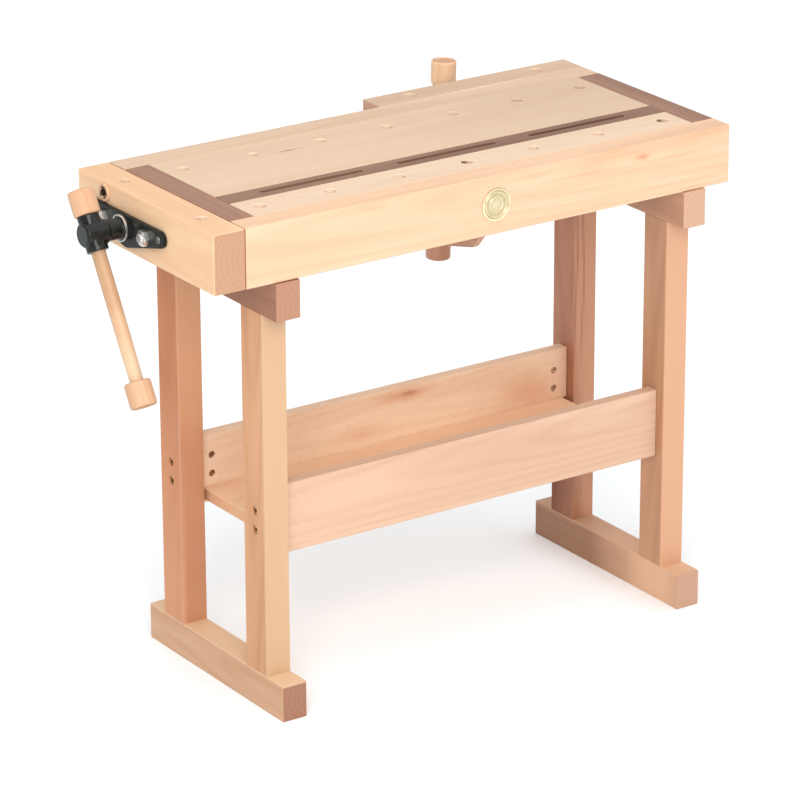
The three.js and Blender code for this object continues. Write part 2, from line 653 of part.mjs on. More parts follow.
function buildFrontVise(group) {
  const vise = new THREE.Group();
  vise.position.set(frontAxis, SLAB_DEPTH + JAW_SEAM + FRONT_JAW_THICKNESS, viseAxisHeight);
  const farthest = FRONT_JAW_LENGTH / 2 - DOG_HOLE_DIAMETER;
  const reachable = dogLines.filter((x) => Math.abs(x - frontAxis) < farthest);
  const dogs = [reachable[0], reachable[reachable.length - 1]].map((x) => x - frontAxis);
  const body = jawBody(FRONT_JAW_LENGTH, FRONT_JAW_THICKNESS, -FRONT_JAW_LENGTH / 2, dogs);
  buildVise(vise, 'front', body, FRONT_JAW_THICKNESS, RAIL_WIDTH, FRONT_HANDLE_TILT);
  group.add(vise);
}

// The origin is under the middle of the bench's outer box, on the floor
const handleOut = HANDLE_REACH + KNOB_DIAMETER / 2;
const boxLeft = -JAW_SEAM - END_JAW_THICKNESS - handleOut;
const boxBack = SLAB_DEPTH + JAW_SEAM + FRONT_JAW_THICKNESS + handleOut;
const boxFront = trestleMiddle - FOOT_LENGTH / 2;

const bench = new THREE.Group();
bench.position.set(-(boxLeft + SLAB_LENGTH) / 2, -(boxFront + boxBack) / 2, 0);
buildTop(bench);
buildTrestle(bench, 'left', leftTrestle, leftTrestle, leftTrestle + TRESTLE_THICKNESS);
buildTrestle(bench, 'right', rightTrestle, rightTrestle + TRESTLE_THICKNESS, rightTrestle);
buildMiddleBearer(bench);
buildStretchers(bench);
buildEndVise(bench);
buildFrontVise(bench);

export default bench;
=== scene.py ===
# %% [markdown]
# A joiner's workbench with two vises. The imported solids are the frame: they say where every board,
# rod and bolt sits. This lesson dresses that frame, board by board, with eased edges, drilled
# holes, turned handles and grained timber, and never moves the solids themselves.

# %% Load the frame
import itertools
import json
import math

import bmesh
import bpy
from mathutils import Matrix, Vector


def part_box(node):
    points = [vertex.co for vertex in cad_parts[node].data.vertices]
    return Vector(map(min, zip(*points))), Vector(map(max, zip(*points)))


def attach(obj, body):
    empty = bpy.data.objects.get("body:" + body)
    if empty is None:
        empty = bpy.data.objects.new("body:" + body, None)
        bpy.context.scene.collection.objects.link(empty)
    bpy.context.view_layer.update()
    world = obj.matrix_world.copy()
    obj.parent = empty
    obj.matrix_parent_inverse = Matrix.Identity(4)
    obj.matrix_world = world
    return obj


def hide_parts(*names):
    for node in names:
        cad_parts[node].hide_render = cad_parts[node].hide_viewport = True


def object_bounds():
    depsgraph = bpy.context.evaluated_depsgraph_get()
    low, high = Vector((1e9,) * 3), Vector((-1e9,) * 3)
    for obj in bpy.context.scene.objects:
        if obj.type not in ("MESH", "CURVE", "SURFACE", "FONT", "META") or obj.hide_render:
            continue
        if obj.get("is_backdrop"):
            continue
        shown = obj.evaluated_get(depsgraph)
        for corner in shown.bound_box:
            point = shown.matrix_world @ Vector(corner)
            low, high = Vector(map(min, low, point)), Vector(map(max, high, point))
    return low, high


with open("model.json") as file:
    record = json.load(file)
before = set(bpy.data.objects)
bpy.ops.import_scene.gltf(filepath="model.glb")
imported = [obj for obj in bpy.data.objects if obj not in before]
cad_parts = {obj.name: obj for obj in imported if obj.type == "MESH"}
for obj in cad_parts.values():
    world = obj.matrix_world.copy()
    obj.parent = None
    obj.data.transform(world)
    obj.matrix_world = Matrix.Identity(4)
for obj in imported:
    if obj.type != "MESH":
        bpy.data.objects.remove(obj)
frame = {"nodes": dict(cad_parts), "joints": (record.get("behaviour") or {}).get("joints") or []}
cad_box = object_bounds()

MM = 0.001
scene = bpy.context.scene
print("solids in the frame:", len(frame["nodes"]))

# %% [markdown]
# The camera comes first, because everything is judged through it. A long lens far away gives the
# nearly parallel lines of a catalogue picture. Its place could be found by moving it by hand; here
# it is set from the bearing, the height angle and the distance that the bench's own edges gave.

# %% Camera
CAMERA_PLACE = Vector((-3.7548, -5.6543, 2.9872))
CAMERA_BEARING = math.radians(-34.08)
CAMERA_HEIGHT_ANGLE = math.radians(20.91)
CAMERA_ROLL = math.radians(-0.21)
CAMERA_LENS = 194.96
SENSOR = 36.0


def in_scene(name, data):
    """An object made from its data, in the scene."""
    item = bpy.data.objects.new(name, data)
    scene.collection.objects.link(item)
    return item


lens = bpy.data.cameras.new("camera")
lens.lens = CAMERA_LENS
lens.sensor_width = SENSOR
lens.clip_end = 100
camera = in_scene("camera", lens)
bearing = Matrix.Rotation(CAMERA_BEARING, 4, "Z")
height_angle = Matrix.Rotation(math.pi / 2 - CAMERA_HEIGHT_ANGLE, 4, "X")
roll = Matrix.Rotation(CAMERA_ROLL, 4, "Z")
camera.matrix_world = Matrix.Translation(CAMERA_PLACE) @ bearing @ height_angle @ roll
scene.camera = camera
print("camera at", [round(value, 3) for value in CAMERA_PLACE])

# %% [markdown]
# The studio is white: a wide pale floor, an even sky, a very wide soft light from above and a large
# lamp in front. Hard lamps would draw sharp shadows, and this kind of picture has none. The light
# from above is a sun with a wide disc, because it falls alike on the slab and on the far floor,
# where a lamp at a real height would fade. The floor is stage, not part of the bench.

# %% Floor and light
FLOOR_HALF = 30.0
FLOOR_COLOUR = (0.91, 0.95, 0.98, 1)
FLOOR_ROUGHNESS = 0.9
SKY_STRENGTH = 0.78
OVERHEAD_STRENGTH = 1.15
OVERHEAD_SPREAD = math.radians(100)
OVERHEAD_LEAN = math.radians(12)
LAMP_PLACE = Vector((-1.9, -3.0, 2.4))
LAMP_AIM = Vector((0, 0, 0.5))
LAMP_SIZE = 2.4
LAMP_POWER = 90


def paint(tree, kind, sockets=None, **settings):
    """A shader node with its settings; a socket given another socket is linked, others are set."""
    node = tree.nodes.new(kind)
    for name, value in settings.items():
        setattr(node, name, value)
    for name, value in (sockets or {}).items():
        if isinstance(value, bpy.types.NodeSocket):
            tree.links.new(value, node.inputs[name])
        else:
            node.inputs[name].default_value = value
    return node


def new_material(name):
    """An empty material, its node tree and its shader."""
    material = bpy.data.materials.new(name)
    material.use_nodes = True
    return material, material.node_tree, material.node_tree.nodes["Principled BSDF"]


def add_light(name, kind, **settings):
    """A light with its settings, in the scene."""
    data = bpy.data.lights.new(name, kind)
    for label, value in settings.items():
        setattr(data, label, value)
    return in_scene(name, data)


def as_mesh(name, shape):
    """The mesh of a finished shape, which is then let go."""
    mesh = bpy.data.meshes.new(name)
    shape.to_mesh(mesh)
    shape.free()
    return mesh


world = bpy.data.worlds.new("white_studio")
world.use_nodes = True
sky = world.node_tree.nodes["Background"]
sky.inputs["Color"].default_value = (1, 1, 1, 1)
sky.inputs["Strength"].default_value = SKY_STRENGTH
scene.world = world
scene.view_settings.view_transform = "Standard"

floor_shape = bmesh.new()
bmesh.ops.create_grid(floor_shape, x_segments=1, y_segments=1, size=FLOOR_HALF)
floor = in_scene("floor", as_mesh("floor", floor_shape))
floor_finish, _, floor_shader = new_material("pale_floor")
floor_shader.inputs["Base Color"].default_value = FLOOR_COLOUR
floor_shader.inputs["Roughness"].default_value = FLOOR_ROUGHNESS
floor.data.materials.append(floor_finish)
floor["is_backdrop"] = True

lamp = add_light("front_lamp", "AREA", size=LAMP_SIZE, energy=LAMP_POWER)
lamp.location = LAMP_PLACE
lamp.rotation_euler = (LAMP_AIM - LAMP_PLACE).to_track_quat("-Z", "Y").to_euler()
overhead = add_light("overhead_light", "SUN", energy=OVERHEAD_STRENGTH, angle=OVERHEAD_SPREAD)
overhead.rotation_euler = (OVERHEAD_LEAN, 0, 0)
print("floor half width", FLOOR_HALF, "m")

# %% [markdown]
# Timber is the main finish. A sawn board shows the growth rings of its tree: straight lines where it
# was cut across them, and long arches where its flat face ran along them. So the rings are modelled
# as what they are, circles round the heart of the tree, a little off the board and not quite along
# it. Broad bands of tone, fine fibres and short brown flecks are stretched noises; the cut ends are
# darker. A picture of wood could be wrapped round each board, but it would not turn the corners.

# %% Timber group
TIMBER_INPUTS = {
    "Vector": "NodeSocketVector",
    "Heart": "NodeSocketVector",
    "Light": "NodeSocketColor",
    "Dark": "NodeSocketColor",
    "End Colour": "NodeSocketColor",
    "End Mask": "NodeSocketFloat",
    "Contrast": "NodeSocketFloat",
    "Flecks": "NodeSocketFloat",
}
SURFACE_OUTPUTS = {
    "Color": "NodeSocketColor",
    "Roughness": "NodeSocketFloat",
    "Height": "NodeSocketFloat",
}
RING_SCALE = 34.0
RING_STRETCH = (0.3, 1, 1)
BROAD_STRETCH = (1.3, 15, 15)
FIBRE_STRETCH = (7, 520, 520)
FLECK_STRETCH = (130, 850, 850)
PORE_STRETCH = (420, 420, 420)


def new_group(name, inputs, outputs):
    """An empty shader group with named sockets, and its two end nodes."""
    group = bpy.data.node_groups.new(name, "ShaderNodeTree")
    for label, kind in inputs.items():
        group.interface.new_socket(name=label, in_out="INPUT", socket_type=kind)
    for label, kind in outputs.items():
        group.interface.new_socket(name=label, in_out="OUTPUT", socket_type=kind)
    return group, group.nodes.new("NodeGroupInput"), group.nodes.new("NodeGroupOutput")


def stretched_noise(tree, vector, stretch, detail, distortion=0.0):
    """Noise whose cells are drawn out by a scale on each axis."""
    mapped = paint(tree, "ShaderNodeMapping", {"Vector": vector, "Scale": stretch})
    return paint(tree, "ShaderNodeTexNoise", {
        "Vector": mapped.outputs["Vector"], "Scale": 1.0, "Detail": detail, "Distortion": distortion,
    }).outputs["Fac"]


def ranged(tree, value, low, high, to_low=0.0, to_high=1.0):
    """A value moved from one range to another, and held inside it."""
    return paint(tree, "ShaderNodeMapRange", {
        "Value": value, "From Min": low, "From Max": high, "To Min": to_low, "To Max": to_high,
    }).outputs["Result"]


def maths(tree, operation, first, second):
    """One sum on two values."""
    return paint(tree, "ShaderNodeMath", {0: first, 1: second}, operation=operation).outputs[0]


def vector_maths(tree, operation, *vectors):
    """A node that works on vectors; its first output is a vector and its second a value."""
    return paint(tree, "ShaderNodeVectorMath", dict(enumerate(vectors)), operation=operation)


def mixed(tree, factor, first, second):
    """Two colours mixed by a factor; a Mix node takes colours at sockets 6 and 7 and gives one at 2."""
    return paint(tree, "ShaderNodeMix", {0: factor, 6: first, 7: second},
                 data_type="RGBA", clamp_factor=True).outputs[2]


timber, timber_in, timber_out = new_group("timber", TIMBER_INPUTS, SURFACE_OUTPUTS)
along = timber_in.outputs["Vector"]
light_tone = timber_in.outputs["Light"]
dark_tone = timber_in.outputs["Dark"]
end_tone = timber_in.outputs["End Colour"]
drawn_out = paint(timber, "ShaderNodeMapping", {
    "Vector": timber_in.outputs["Heart"], "Scale": RING_STRETCH,
})
rings = paint(timber, "ShaderNodeTexWave", {
    "Vector": drawn_out.outputs["Vector"], "Scale": RING_SCALE, "Distortion": 10.0, "Detail": 2.0,
    "Detail Scale": 0.12, "Detail Roughness": 0.55,
}, wave_type="RINGS", rings_direction="X").outputs["Fac"]
late_wood = maths(timber, "POWER", rings, 2.2)
broad = ranged(timber, stretched_noise(timber, along, BROAD_STRETCH, 3, 0.5), 0.34, 0.66)
fibres = stretched_noise(timber, along, FIBRE_STRETCH, 3)
flecks = ranged(timber, stretched_noise(timber, along, FLECK_STRETCH, 0), 0.62, 0.72)
figure = maths(timber, "MULTIPLY", broad, 0.7)
figure = maths(timber, "ADD", figure, maths(timber, "MULTIPLY", late_wood, 0.3))
figure = maths(timber, "MULTIPLY", figure, timber_in.outputs["Contrast"])
tone = mixed(timber, figure, light_tone, dark_tone)
tone = mixed(timber, ranged(timber, fibres, 0.3, 0.7, 0.3, 0.0), tone, dark_tone)
tone = mixed(timber, maths(timber, "MULTIPLY", flecks, timber_in.outputs["Flecks"]), tone, end_tone)
pores = ranged(timber, stretched_noise(timber, along, PORE_STRETCH, 2), 0.35, 0.65, 0.0, 0.14)
cut_share = maths(timber, "ADD", pores, maths(timber, "MULTIPLY", late_wood, 0.13))
cut_tone = mixed(timber, cut_share, end_tone, dark_tone)
tone = mixed(timber, timber_in.outputs["End Mask"], tone, cut_tone)
relief = maths(timber, "SUBTRACT", fibres, maths(timber, "MULTIPLY", flecks, 0.4))
timber.links.new(tone, timber_out.inputs["Color"])
timber.links.new(ranged(timber, fibres, 0.3, 0.7, 0.42, 0.54), timber_out.inputs["Roughness"])
timber.links.new(relief, timber_out.inputs["Height"])
print("timber group nodes:", len(timber.nodes))

# %% [markdown]
# Each board gets a material of its own from that group. The heart of its tree lies off its flat face,
# where a sawyer would have left it, and a shift by the board's number keeps two boards from showing
# the same figure. The surface normal says which faces are cut ends. A knot or a streak is an oval
# mask at one place of one board, and so are the patches of painted light and painted shade. The walls
# of a row of bores are painted paler, as fresh-cut wood and as painted light inside the holes: the
# coordinates are folded at the row's pitch, so one circle serves the whole row.

# %% Timber materials
TIMBERS = {
    "apron_beech": ((0.763, 0.53, 0.352), (0.632, 0.368, 0.216), (0.465, 0.251, 0.149)),
    "end_jaw_beech": ((0.785, 0.545, 0.338), (0.655, 0.38, 0.206), (0.44, 0.238, 0.148)),
    "near_board_beech": ((0.745, 0.57, 0.414), (0.61, 0.415, 0.28), (0.484, 0.288, 0.186)),
    "far_board_beech": ((0.688, 0.512, 0.363), (0.549, 0.363, 0.237), (0.465, 0.279, 0.177)),
    "far_rail_beech": ((0.67, 0.492, 0.348), (0.54, 0.353, 0.229), (0.456, 0.265, 0.167)),
    "front_jaw_beech": ((0.625, 0.452, 0.32), (0.5, 0.318, 0.205), (0.456, 0.265, 0.167)),
    # The legs are a pinker beech, darkened further as painted shade under the slab.
    "left_near_leg_beech": ((0.66, 0.355, 0.185), (0.47, 0.22, 0.1), (0.409, 0.205, 0.13)),
    "left_far_leg_beech": ((0.52, 0.198, 0.078), (0.41, 0.145, 0.054), (0.409, 0.205, 0.13)),
    "right_near_leg_beech": ((0.53, 0.29, 0.165), (0.37, 0.178, 0.092), (0.391, 0.195, 0.121)),
    "right_far_leg_beech": ((0.502, 0.242, 0.149), (0.349, 0.145, 0.08), (0.372, 0.186, 0.112)),
    # The bearers' sides are darker copies of the beech, painted shade under the slab; the left bearer
    # is darkest, painted shadow of the end jaw.
    "left_bearer_beech": ((0.32, 0.143, 0.075), (0.225, 0.094, 0.048), (0.428, 0.214, 0.135)),
    "right_bearer_beech": ((0.539, 0.3, 0.19), (0.391, 0.196, 0.113), (0.59, 0.355, 0.235)),
    "middle_bearer_beech": ((0.539, 0.307, 0.205), (0.391, 0.2, 0.121), (0.428, 0.214, 0.135)),
    "left_foot_beech": ((0.632, 0.4, 0.26), (0.493, 0.27, 0.149), (0.302, 0.136, 0.085)),
    # The right foot is darkened as painted shade; marks bring back its top, its near part and its end.
    "right_foot_beech": ((0.366, 0.194, 0.117), (0.251, 0.125, 0.071), (0.38, 0.205, 0.135)),
    "near_stretcher_beech": ((0.695, 0.465, 0.324), (0.535, 0.31, 0.2), (0.465, 0.251, 0.158)),
    "far_stretcher_beech": ((0.902, 0.688, 0.502), (0.744, 0.484, 0.326), (0.502, 0.279, 0.177)),
    "shelf_beech": ((0.93, 0.675, 0.46), (0.8, 0.485, 0.305), (0.65, 0.36, 0.205)),
    "end_handle_beech": ((0.66, 0.425, 0.27), (0.545, 0.29, 0.155), (0.465, 0.251, 0.144)),
    "front_handle_beech": ((0.837, 0.595, 0.4), (0.688, 0.405, 0.228), (0.502, 0.27, 0.153)),
    # A darker copy of the beech for a knob that hangs under the slab: painted shade.
    "shaded_beech": ((0.57, 0.325, 0.22), (0.47, 0.225, 0.13), (0.38, 0.18, 0.11)),
    "band_walnut": ((0.3, 0.157, 0.096), (0.168, 0.08, 0.047), (0.145, 0.067, 0.038)),
    "walnut": ((0.372, 0.195, 0.125), (0.209, 0.1, 0.061), (0.181, 0.084, 0.049)),
}
# Painted light: each leg's front face is paler than its sides, where the front lamp falls.
PAINTED_LIGHT_FRONTS = {
    "left_near_leg": (0.565, 0.366, 0.22),
    "left_far_leg": (0.65, 0.35, 0.2),
    "right_near_leg": (0.645, 0.35, 0.213),
    "right_far_leg": (0.521, 0.26, 0.155),
}
GRAIN = {"x": Vector((1, 0, 0)), "y": Vector((0, 1, 0)), "z": Vector((0, 0, 1))}
BOARD_SHIFT = Vector((1.7, 0.93, 0.41))
HEART_TILT = math.radians(2.0)
# Paler colour for bore walls, as fresh-cut wood and as painted light inside the holes, and for a
# painted highlight on the far rail's edge.
FRESH_CUT_AND_HIGHLIGHT = (0.95, 0.76, 0.58)
BORE_RIM = 10.5 * MM
HEART_DEPTH = 26 * MM
HEART_SPREAD = 14 * MM
HEART_ASIDE = 0.25
RAGGED_SCALE = 1.6
OVAL_CORE = 0.15
WOOD_SHEEN = 0.3
WOOD_RELIEF = 0.12
WOOD_RELIEF_DEPTH = 0.4 * MM
board_numbers = itertools.count(1)


def opaque(colour):
    """A colour with full cover."""
    return (*colour, 1)


def heart_of(node, grain, number):
    """A point on the heart of the board's tree, off the flat face of the board."""
    low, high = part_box(node)
    size = high - low
    across = [axis for axis in GRAIN.values() if abs(axis.dot(grain)) < 0.7]
    flat = min(across, key=size.dot)
    wide = max(across, key=size.dot)
    depth = flat.dot(size) / 2 + HEART_DEPTH + HEART_SPREAD * math.sin(2.3 * number)
    aside = wide.dot(size) * HEART_ASIDE * math.sin(1.9 * number)
    return (low + high) / 2 + flat * depth + wide * aside


def oval(place, size, strength, colour):
    """A mark on a board: its middle, its half sizes in millimetres, its strength and its colour."""
    return Vector(place), tuple(length * MM for length in size), strength, colour


def oval_mask(tree, coordinates, centre, size):
    """One inside an oval at a place of the board, fading to nought at its rim."""
    local = paint(tree, "ShaderNodeMapping", {
        "Vector": coordinates, "Location": centre, "Scale": size,
    }, vector_type="TEXTURE").outputs["Vector"]
    wobble = paint(tree, "ShaderNodeTexNoise", {"Vector": local, "Scale": RAGGED_SCALE, "Detail": 3.0})
    reach = vector_maths(tree, "LENGTH", local).outputs["Value"]
    ragged = maths(tree, "ADD", reach, maths(tree, "SUBTRACT", wobble.outputs["Fac"], 0.5))
    return ranged(tree, ragged, OVAL_CORE, 1.0, 1.0, 0.0)


def bore_mask(tree, coordinates, first, fold, strength):
    """A strength near the upright axes of a row of bores, from a first point on by a fold."""
    offset = vector_maths(tree, "SUBTRACT", coordinates, first).outputs[0]
    folded = vector_maths(tree, "WRAP", offset, fold / 2, -fold / 2).outputs[0]
    level = vector_maths(tree, "MULTIPLY", folded, (1, 1, 0)).outputs[0]
    reach = vector_maths(tree, "LENGTH", level).outputs["Value"]
    return ranged(tree, reach, BORE_RIM, BORE_RIM + 0.4 * MM, strength, 0.0)


def coat(tree, shader, colour, surface, strength, depth):
    """Links a colour, and the roughness and relief of a group, to a shader."""
    bump = paint(tree, "ShaderNodeBump", {
        "Height": surface.outputs["Height"], "Strength": strength, "Distance": depth,
    })
    tree.links.new(colour, shader.inputs["Base Color"])
    tree.links.new(surface.outputs["Roughness"], shader.inputs["Roughness"])
    tree.links.new(bump.outputs["Normal"], shader.inputs["Normal"])


def timber_finish(node, grain, kind=None, contrast=1.0, flecks=0.16, marks=(), bores=None):
    """The material of one board: its grain direction, its timber, its marks and its row of bores."""
    number = next(board_numbers)
    kind = kind or node + "_beech"
    light, dark, cut_end = (opaque(colour) for colour in TIMBERS[kind])
    material, tree, shader = new_material(f"{node}_{kind}")
    place = paint(tree, "ShaderNodeTexCoord")
    coordinates = place.outputs["Object"]
    turn = grain.rotation_difference(GRAIN["x"]).to_matrix()
    tilted = Matrix.Rotation(HEART_TILT, 3, "Y") @ Matrix.Rotation(HEART_TILT, 3, "Z") @ turn
    shifted = paint(tree, "ShaderNodeMapping", {
        "Vector": coordinates, "Rotation": turn.to_euler(), "Location": BOARD_SHIFT * number,
    })
    heart = paint(tree, "ShaderNodeMapping", {
        "Vector": coordinates, "Rotation": tilted.to_euler(),
        "Location": -(tilted @ heart_of(node, grain, number)),
    })
    facing = vector_maths(tree, "DOT_PRODUCT", place.outputs["Normal"], grain).outputs["Value"]
    facing = maths(tree, "ABSOLUTE", facing, 0.0)
    wood = paint(tree, "ShaderNodeGroup", {
        "Vector": shifted.outputs["Vector"], "Heart": heart.outputs["Vector"],
        "Light": light, "Dark": dark, "End Colour": cut_end,
        "End Mask": ranged(tree, facing, 0.75, 0.95), "Contrast": contrast, "Flecks": flecks,
    }, node_tree=timber)
    colour = wood.outputs["Color"]
    # Bore walls painted paler: fresh-cut wood, and painted light inside the holes.
    if bores:
        colour = mixed(tree, bore_mask(tree, coordinates, *bores), colour, opaque(FRESH_CUT_AND_HIGHLIGHT))
    for centre, size, strength, mark_colour in marks:
        mask = maths(tree, "MULTIPLY", oval_mask(tree, coordinates, centre, size), strength)
        colour = mixed(tree, mask, colour, opaque(mark_colour))
    shader.inputs["Specular IOR Level"].default_value = WOOD_SHEEN
    coat(tree, shader, colour, wood, WOOD_RELIEF, WOOD_RELIEF_DEPTH)
    return material


print("timbers:", ", ".join(TIMBERS))

# %% [markdown]
# The ironwork has six finishes: black gloss paint on the turned screws, duller black paint on the
# cast plates, zinc plate, brown steel, blued steel and brass. Painted iron is not quite smooth, so a
# soft noise moves both the bump and the roughness; plated steel carries fine smears. Brass is polished
# on its high parts and darker in its grooves, where a cloth does not reach, so its tarnish follows
# the depth below the face.

# %% Metal group and finishes
SMEAR_SCALE = 90.0
METAL_RELIEF_DEPTH = 0.6 * MM
PAINT_SHINE = {"black_iron": 0.3, "black_casting": 0.12}
# Clean and dull colour, metallic, grain size, smoothest, roughest, relief.
METALS = {
    "black_iron": ((0.006, 0.0075, 0.0065), (0.012, 0.014, 0.012), 0.0, 240.0, 0.06, 0.18, 0.1),
    "black_casting": ((0.012, 0.0135, 0.012), (0.021, 0.022, 0.019), 0.0, 240.0, 0.22, 0.42, 0.12),
    "zinc_steel": ((0.78, 0.76, 0.72), (0.58, 0.56, 0.53), 1.0, 500.0, 0.26, 0.42, 0.03),
    "brown_steel": ((0.5, 0.32, 0.18), (0.28, 0.17, 0.09), 0.85, 500.0, 0.25, 0.42, 0.03),
    "blued_steel": ((0.3, 0.3, 0.29), (0.13, 0.13, 0.125), 1.0, 500.0, 0.16, 0.3, 0.03),
    "brass": ((0.93, 0.82, 0.56), (0.82, 0.68, 0.42), 1.0, 700.0, 0.2, 0.34, 0.05),
}

metal, metal_in, metal_out = new_group("worn_metal", {
    "Clean": "NodeSocketColor",
    "Dull": "NodeSocketColor",
    "Grain Size": "NodeSocketFloat",
    "Smoothest": "NodeSocketFloat",
    "Roughest": "NodeSocketFloat",
}, SURFACE_OUTPUTS)
metal_place = paint(metal, "ShaderNodeTexCoord").outputs["Object"]
roughcast = paint(metal, "ShaderNodeTexNoise", {
    "Vector": metal_place, "Scale": metal_in.outputs["Grain Size"], "Detail": 3.0,
}).outputs["Fac"]
smears = paint(metal, "ShaderNodeTexNoise", {
    "Vector": metal_place, "Scale": SMEAR_SCALE, "Detail": 4.0,
}).outputs["Fac"]
smears = ranged(metal, smears, 0.35, 0.65)
metal_tone = mixed(metal, smears, metal_in.outputs["Clean"], metal_in.outputs["Dull"])
gloss = ranged(metal, roughcast, 0.3, 0.7, metal_in.outputs["Smoothest"], metal_in.outputs["Roughest"])
metal.links.new(metal_tone, metal_out.inputs["Color"])
metal.links.new(gloss, metal_out.inputs["Roughness"])
metal.links.new(roughcast, metal_out.inputs["Height"])


def metal_finish(name, tarnish=None):
    """A metal from the shared group; tarnish is a colour, a face's y and the depth of its grooves."""
    clean, dull, metallic, grain_size, smoothest, roughest, relief = METALS[name]
    material, tree, shader = new_material(name)
    surface = paint(tree, "ShaderNodeGroup", {
        "Clean": opaque(clean), "Dull": opaque(dull), "Grain Size": grain_size,
        "Smoothest": smoothest, "Roughest": roughest,
    }, node_tree=metal)
    colour = surface.outputs["Color"]
    if tarnish:
        groove_colour, face, depth = tarnish
        place = paint(tree, "ShaderNodeTexCoord").outputs["Object"]
        out = paint(tree, "ShaderNodeSeparateXYZ", {"Vector": place}).outputs["Y"]
        share = ranged(tree, out, face, face + depth, 0.0, 0.85)
        colour = mixed(tree, share, colour, opaque(groove_colour))
    shader.inputs["Metallic"].default_value = metallic
    if name in PAINT_SHINE:
        shader.inputs["Specular IOR Level"].default_value = PAINT_SHINE[name]
    coat(tree, shader, colour, surface, relief, METAL_RELIEF_DEPTH)
    return material


BLACK_IRON = metal_finish("black_iron")
BLACK_CASTING = metal_finish("black_casting")
ZINC = metal_finish("zinc_steel")
BROWN_STEEL = metal_finish("brown_steel")
BLUED_STEEL = metal_finish("blued_steel")
print("metals:", ", ".join(METALS))

# %% [markdown]
# Every board starts as a cube drawn out to the size of its solid, with its edges eased. Edges could
# be left sharp, but a sharp edge never catches the light, and planed boards always have theirs
# broken. Holes are cut with a boolean, whose cutter flares at the mouth, so each hole has the small
# chamfer that a countersink leaves. Weighted normals keep the flat faces flat beside the eased edge.

# %% Board helpers
EASE = 1.5 * MM
ROUND_STEPS = 48
HOLE_CHAMFER = 0.6 * MM
PROUD = 2 * MM
SHARP_ANGLE = math.radians(42)
LEAST_TURN = math.radians(30)
AXES = {
    "x": Matrix.Rotation(math.pi / 2, 4, "Y"),
    "-x": Matrix.Rotation(-math.pi / 2, 4, "Y"),
    "y": Matrix.Rotation(-math.pi / 2, 4, "X"),
    "-y": Matrix.Rotation(math.pi / 2, 4, "X"),
    "z": Matrix.Identity(4),
    "-z": Matrix.Rotation(math.pi, 4, "X"),
}


def bevel(shape, edges, offset, segments):
    """Rounds chosen edges."""
    bmesh.ops.bevel(shape, geom=edges, offset=offset, offset_type="OFFSET", segments=segments,
                    profile=0.5, affect="EDGES", material=-1, clamp_overlap=True)
    return shape


def ease_edges(shape, offset=EASE, segments=3, least_turn=LEAST_TURN):
    """Rounds every edge between faces that turn by more than an angle."""
    edges = [edge for edge in shape.edges if edge.calc_face_angle(0) > least_turn]
    return bevel(shape, edges, offset, segments)


def moved(shape, place):
    """A shape put in its place by a matrix."""
    bmesh.ops.transform(shape, matrix=place, verts=shape.verts)
    return shape


def block(low, high):
    """A plain block between two corners."""
    shape = bmesh.new()
    bmesh.ops.create_cube(shape, size=1)
    size = Vector(high) - Vector(low)
    middle = (Vector(high) + Vector(low)) / 2
    return moved(shape, Matrix.Translation(middle) @ Matrix.Diagonal((*size, 1)))


def turned(profile, place=None, steps=ROUND_STEPS, closed=False):
    """A turned shape from its (radius, distance) profile, spun about z and then put in place."""
    shape = bmesh.new()
    points = [shape.verts.new((radius, 0, distance)) for radius, distance in profile]
    pairs = list(zip(points, points[1:]))
    if closed:
        pairs.append((points[-1], points[0]))
    edges = [shape.edges.new(pair) for pair in pairs]
    bmesh.ops.spin(shape, geom=points + edges, axis=(0, 0, 1), cent=(0, 0, 0), angle=2 * math.pi,
                   steps=steps, use_merge=True)
    bmesh.ops.remove_doubles(shape, verts=shape.verts, dist=1e-6)
    bmesh.ops.recalc_face_normals(shape, faces=shape.faces)
    return shape if place is None else moved(shape, place)


def rod(radius, start, end, place=None, steps=ROUND_STEPS):
    """A plain round bar along z."""
    return turned([(0, start), (radius, start), (radius, end), (0, end)], place, steps)


def take_in(shape, other):
    """Adds another shape's faces to a shape."""
    mesh = as_mesh("taken_in", other)
    shape.from_mesh(mesh)
    bpy.data.meshes.remove(mesh)
    return shape


def combined(shape, tool, operation="DIFFERENCE"):
    """The boolean of two shapes, as a new shape."""
    work = in_scene("work", as_mesh("work", shape))
    cutter = in_scene("tool", as_mesh("tool", tool))
    boolean = work.modifiers.new("boolean", "BOOLEAN")
    boolean.operation = operation
    boolean.object = cutter
    boolean.solver = "EXACT"
    result = bmesh.new()
    result.from_object(work, bpy.context.evaluated_depsgraph_get())
    for holder in (work, cutter):
        mesh = holder.data
        bpy.data.objects.remove(holder)
        bpy.data.meshes.remove(mesh)
    return result


def drill(place, direction, radius, depth, chamfer=HOLE_CHAMFER):
    """A hole's cutter from a surface point into the work along a direction, flared at the mouth."""
    profile = [(0, depth), (radius, depth), (radius, chamfer), (radius + chamfer, 0),
               (radius + chamfer, -PROUD), (0, -PROUD)]
    return turned(profile, Matrix.Translation(place) @ AXES[direction])


def drilled(shape, cutters):
    """A shape with all of its holes cut at once."""
    if not cutters:
        return shape
    tool = cutters[0]
    for cutter in cutters[1:]:
        take_in(tool, cutter)
    return combined(shape, tool)


def add_piece(name, shape, finish, body, slot, nodes=()):
    """Turns a finished shape into a piece that rides on a body and stands for its solids."""
    mesh = as_mesh(name, shape)
    mesh.materials.append(finish)
    for face in mesh.polygons:
        face.use_smooth = True
    mesh.set_sharp_from_angle(angle=SHARP_ANGLE)
    piece = in_scene(name, mesh)
    normals = piece.modifiers.new("weighted_normals", "WEIGHTED_NORMAL")
    normals.keep_sharp = True
    normals.weight = 100
    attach(piece, body)
    if nodes:
        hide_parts(*nodes)
    return piece


def middle_of(node):
    """The middle of a solid's box."""
    low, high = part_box(node)
    return (low + high) / 2


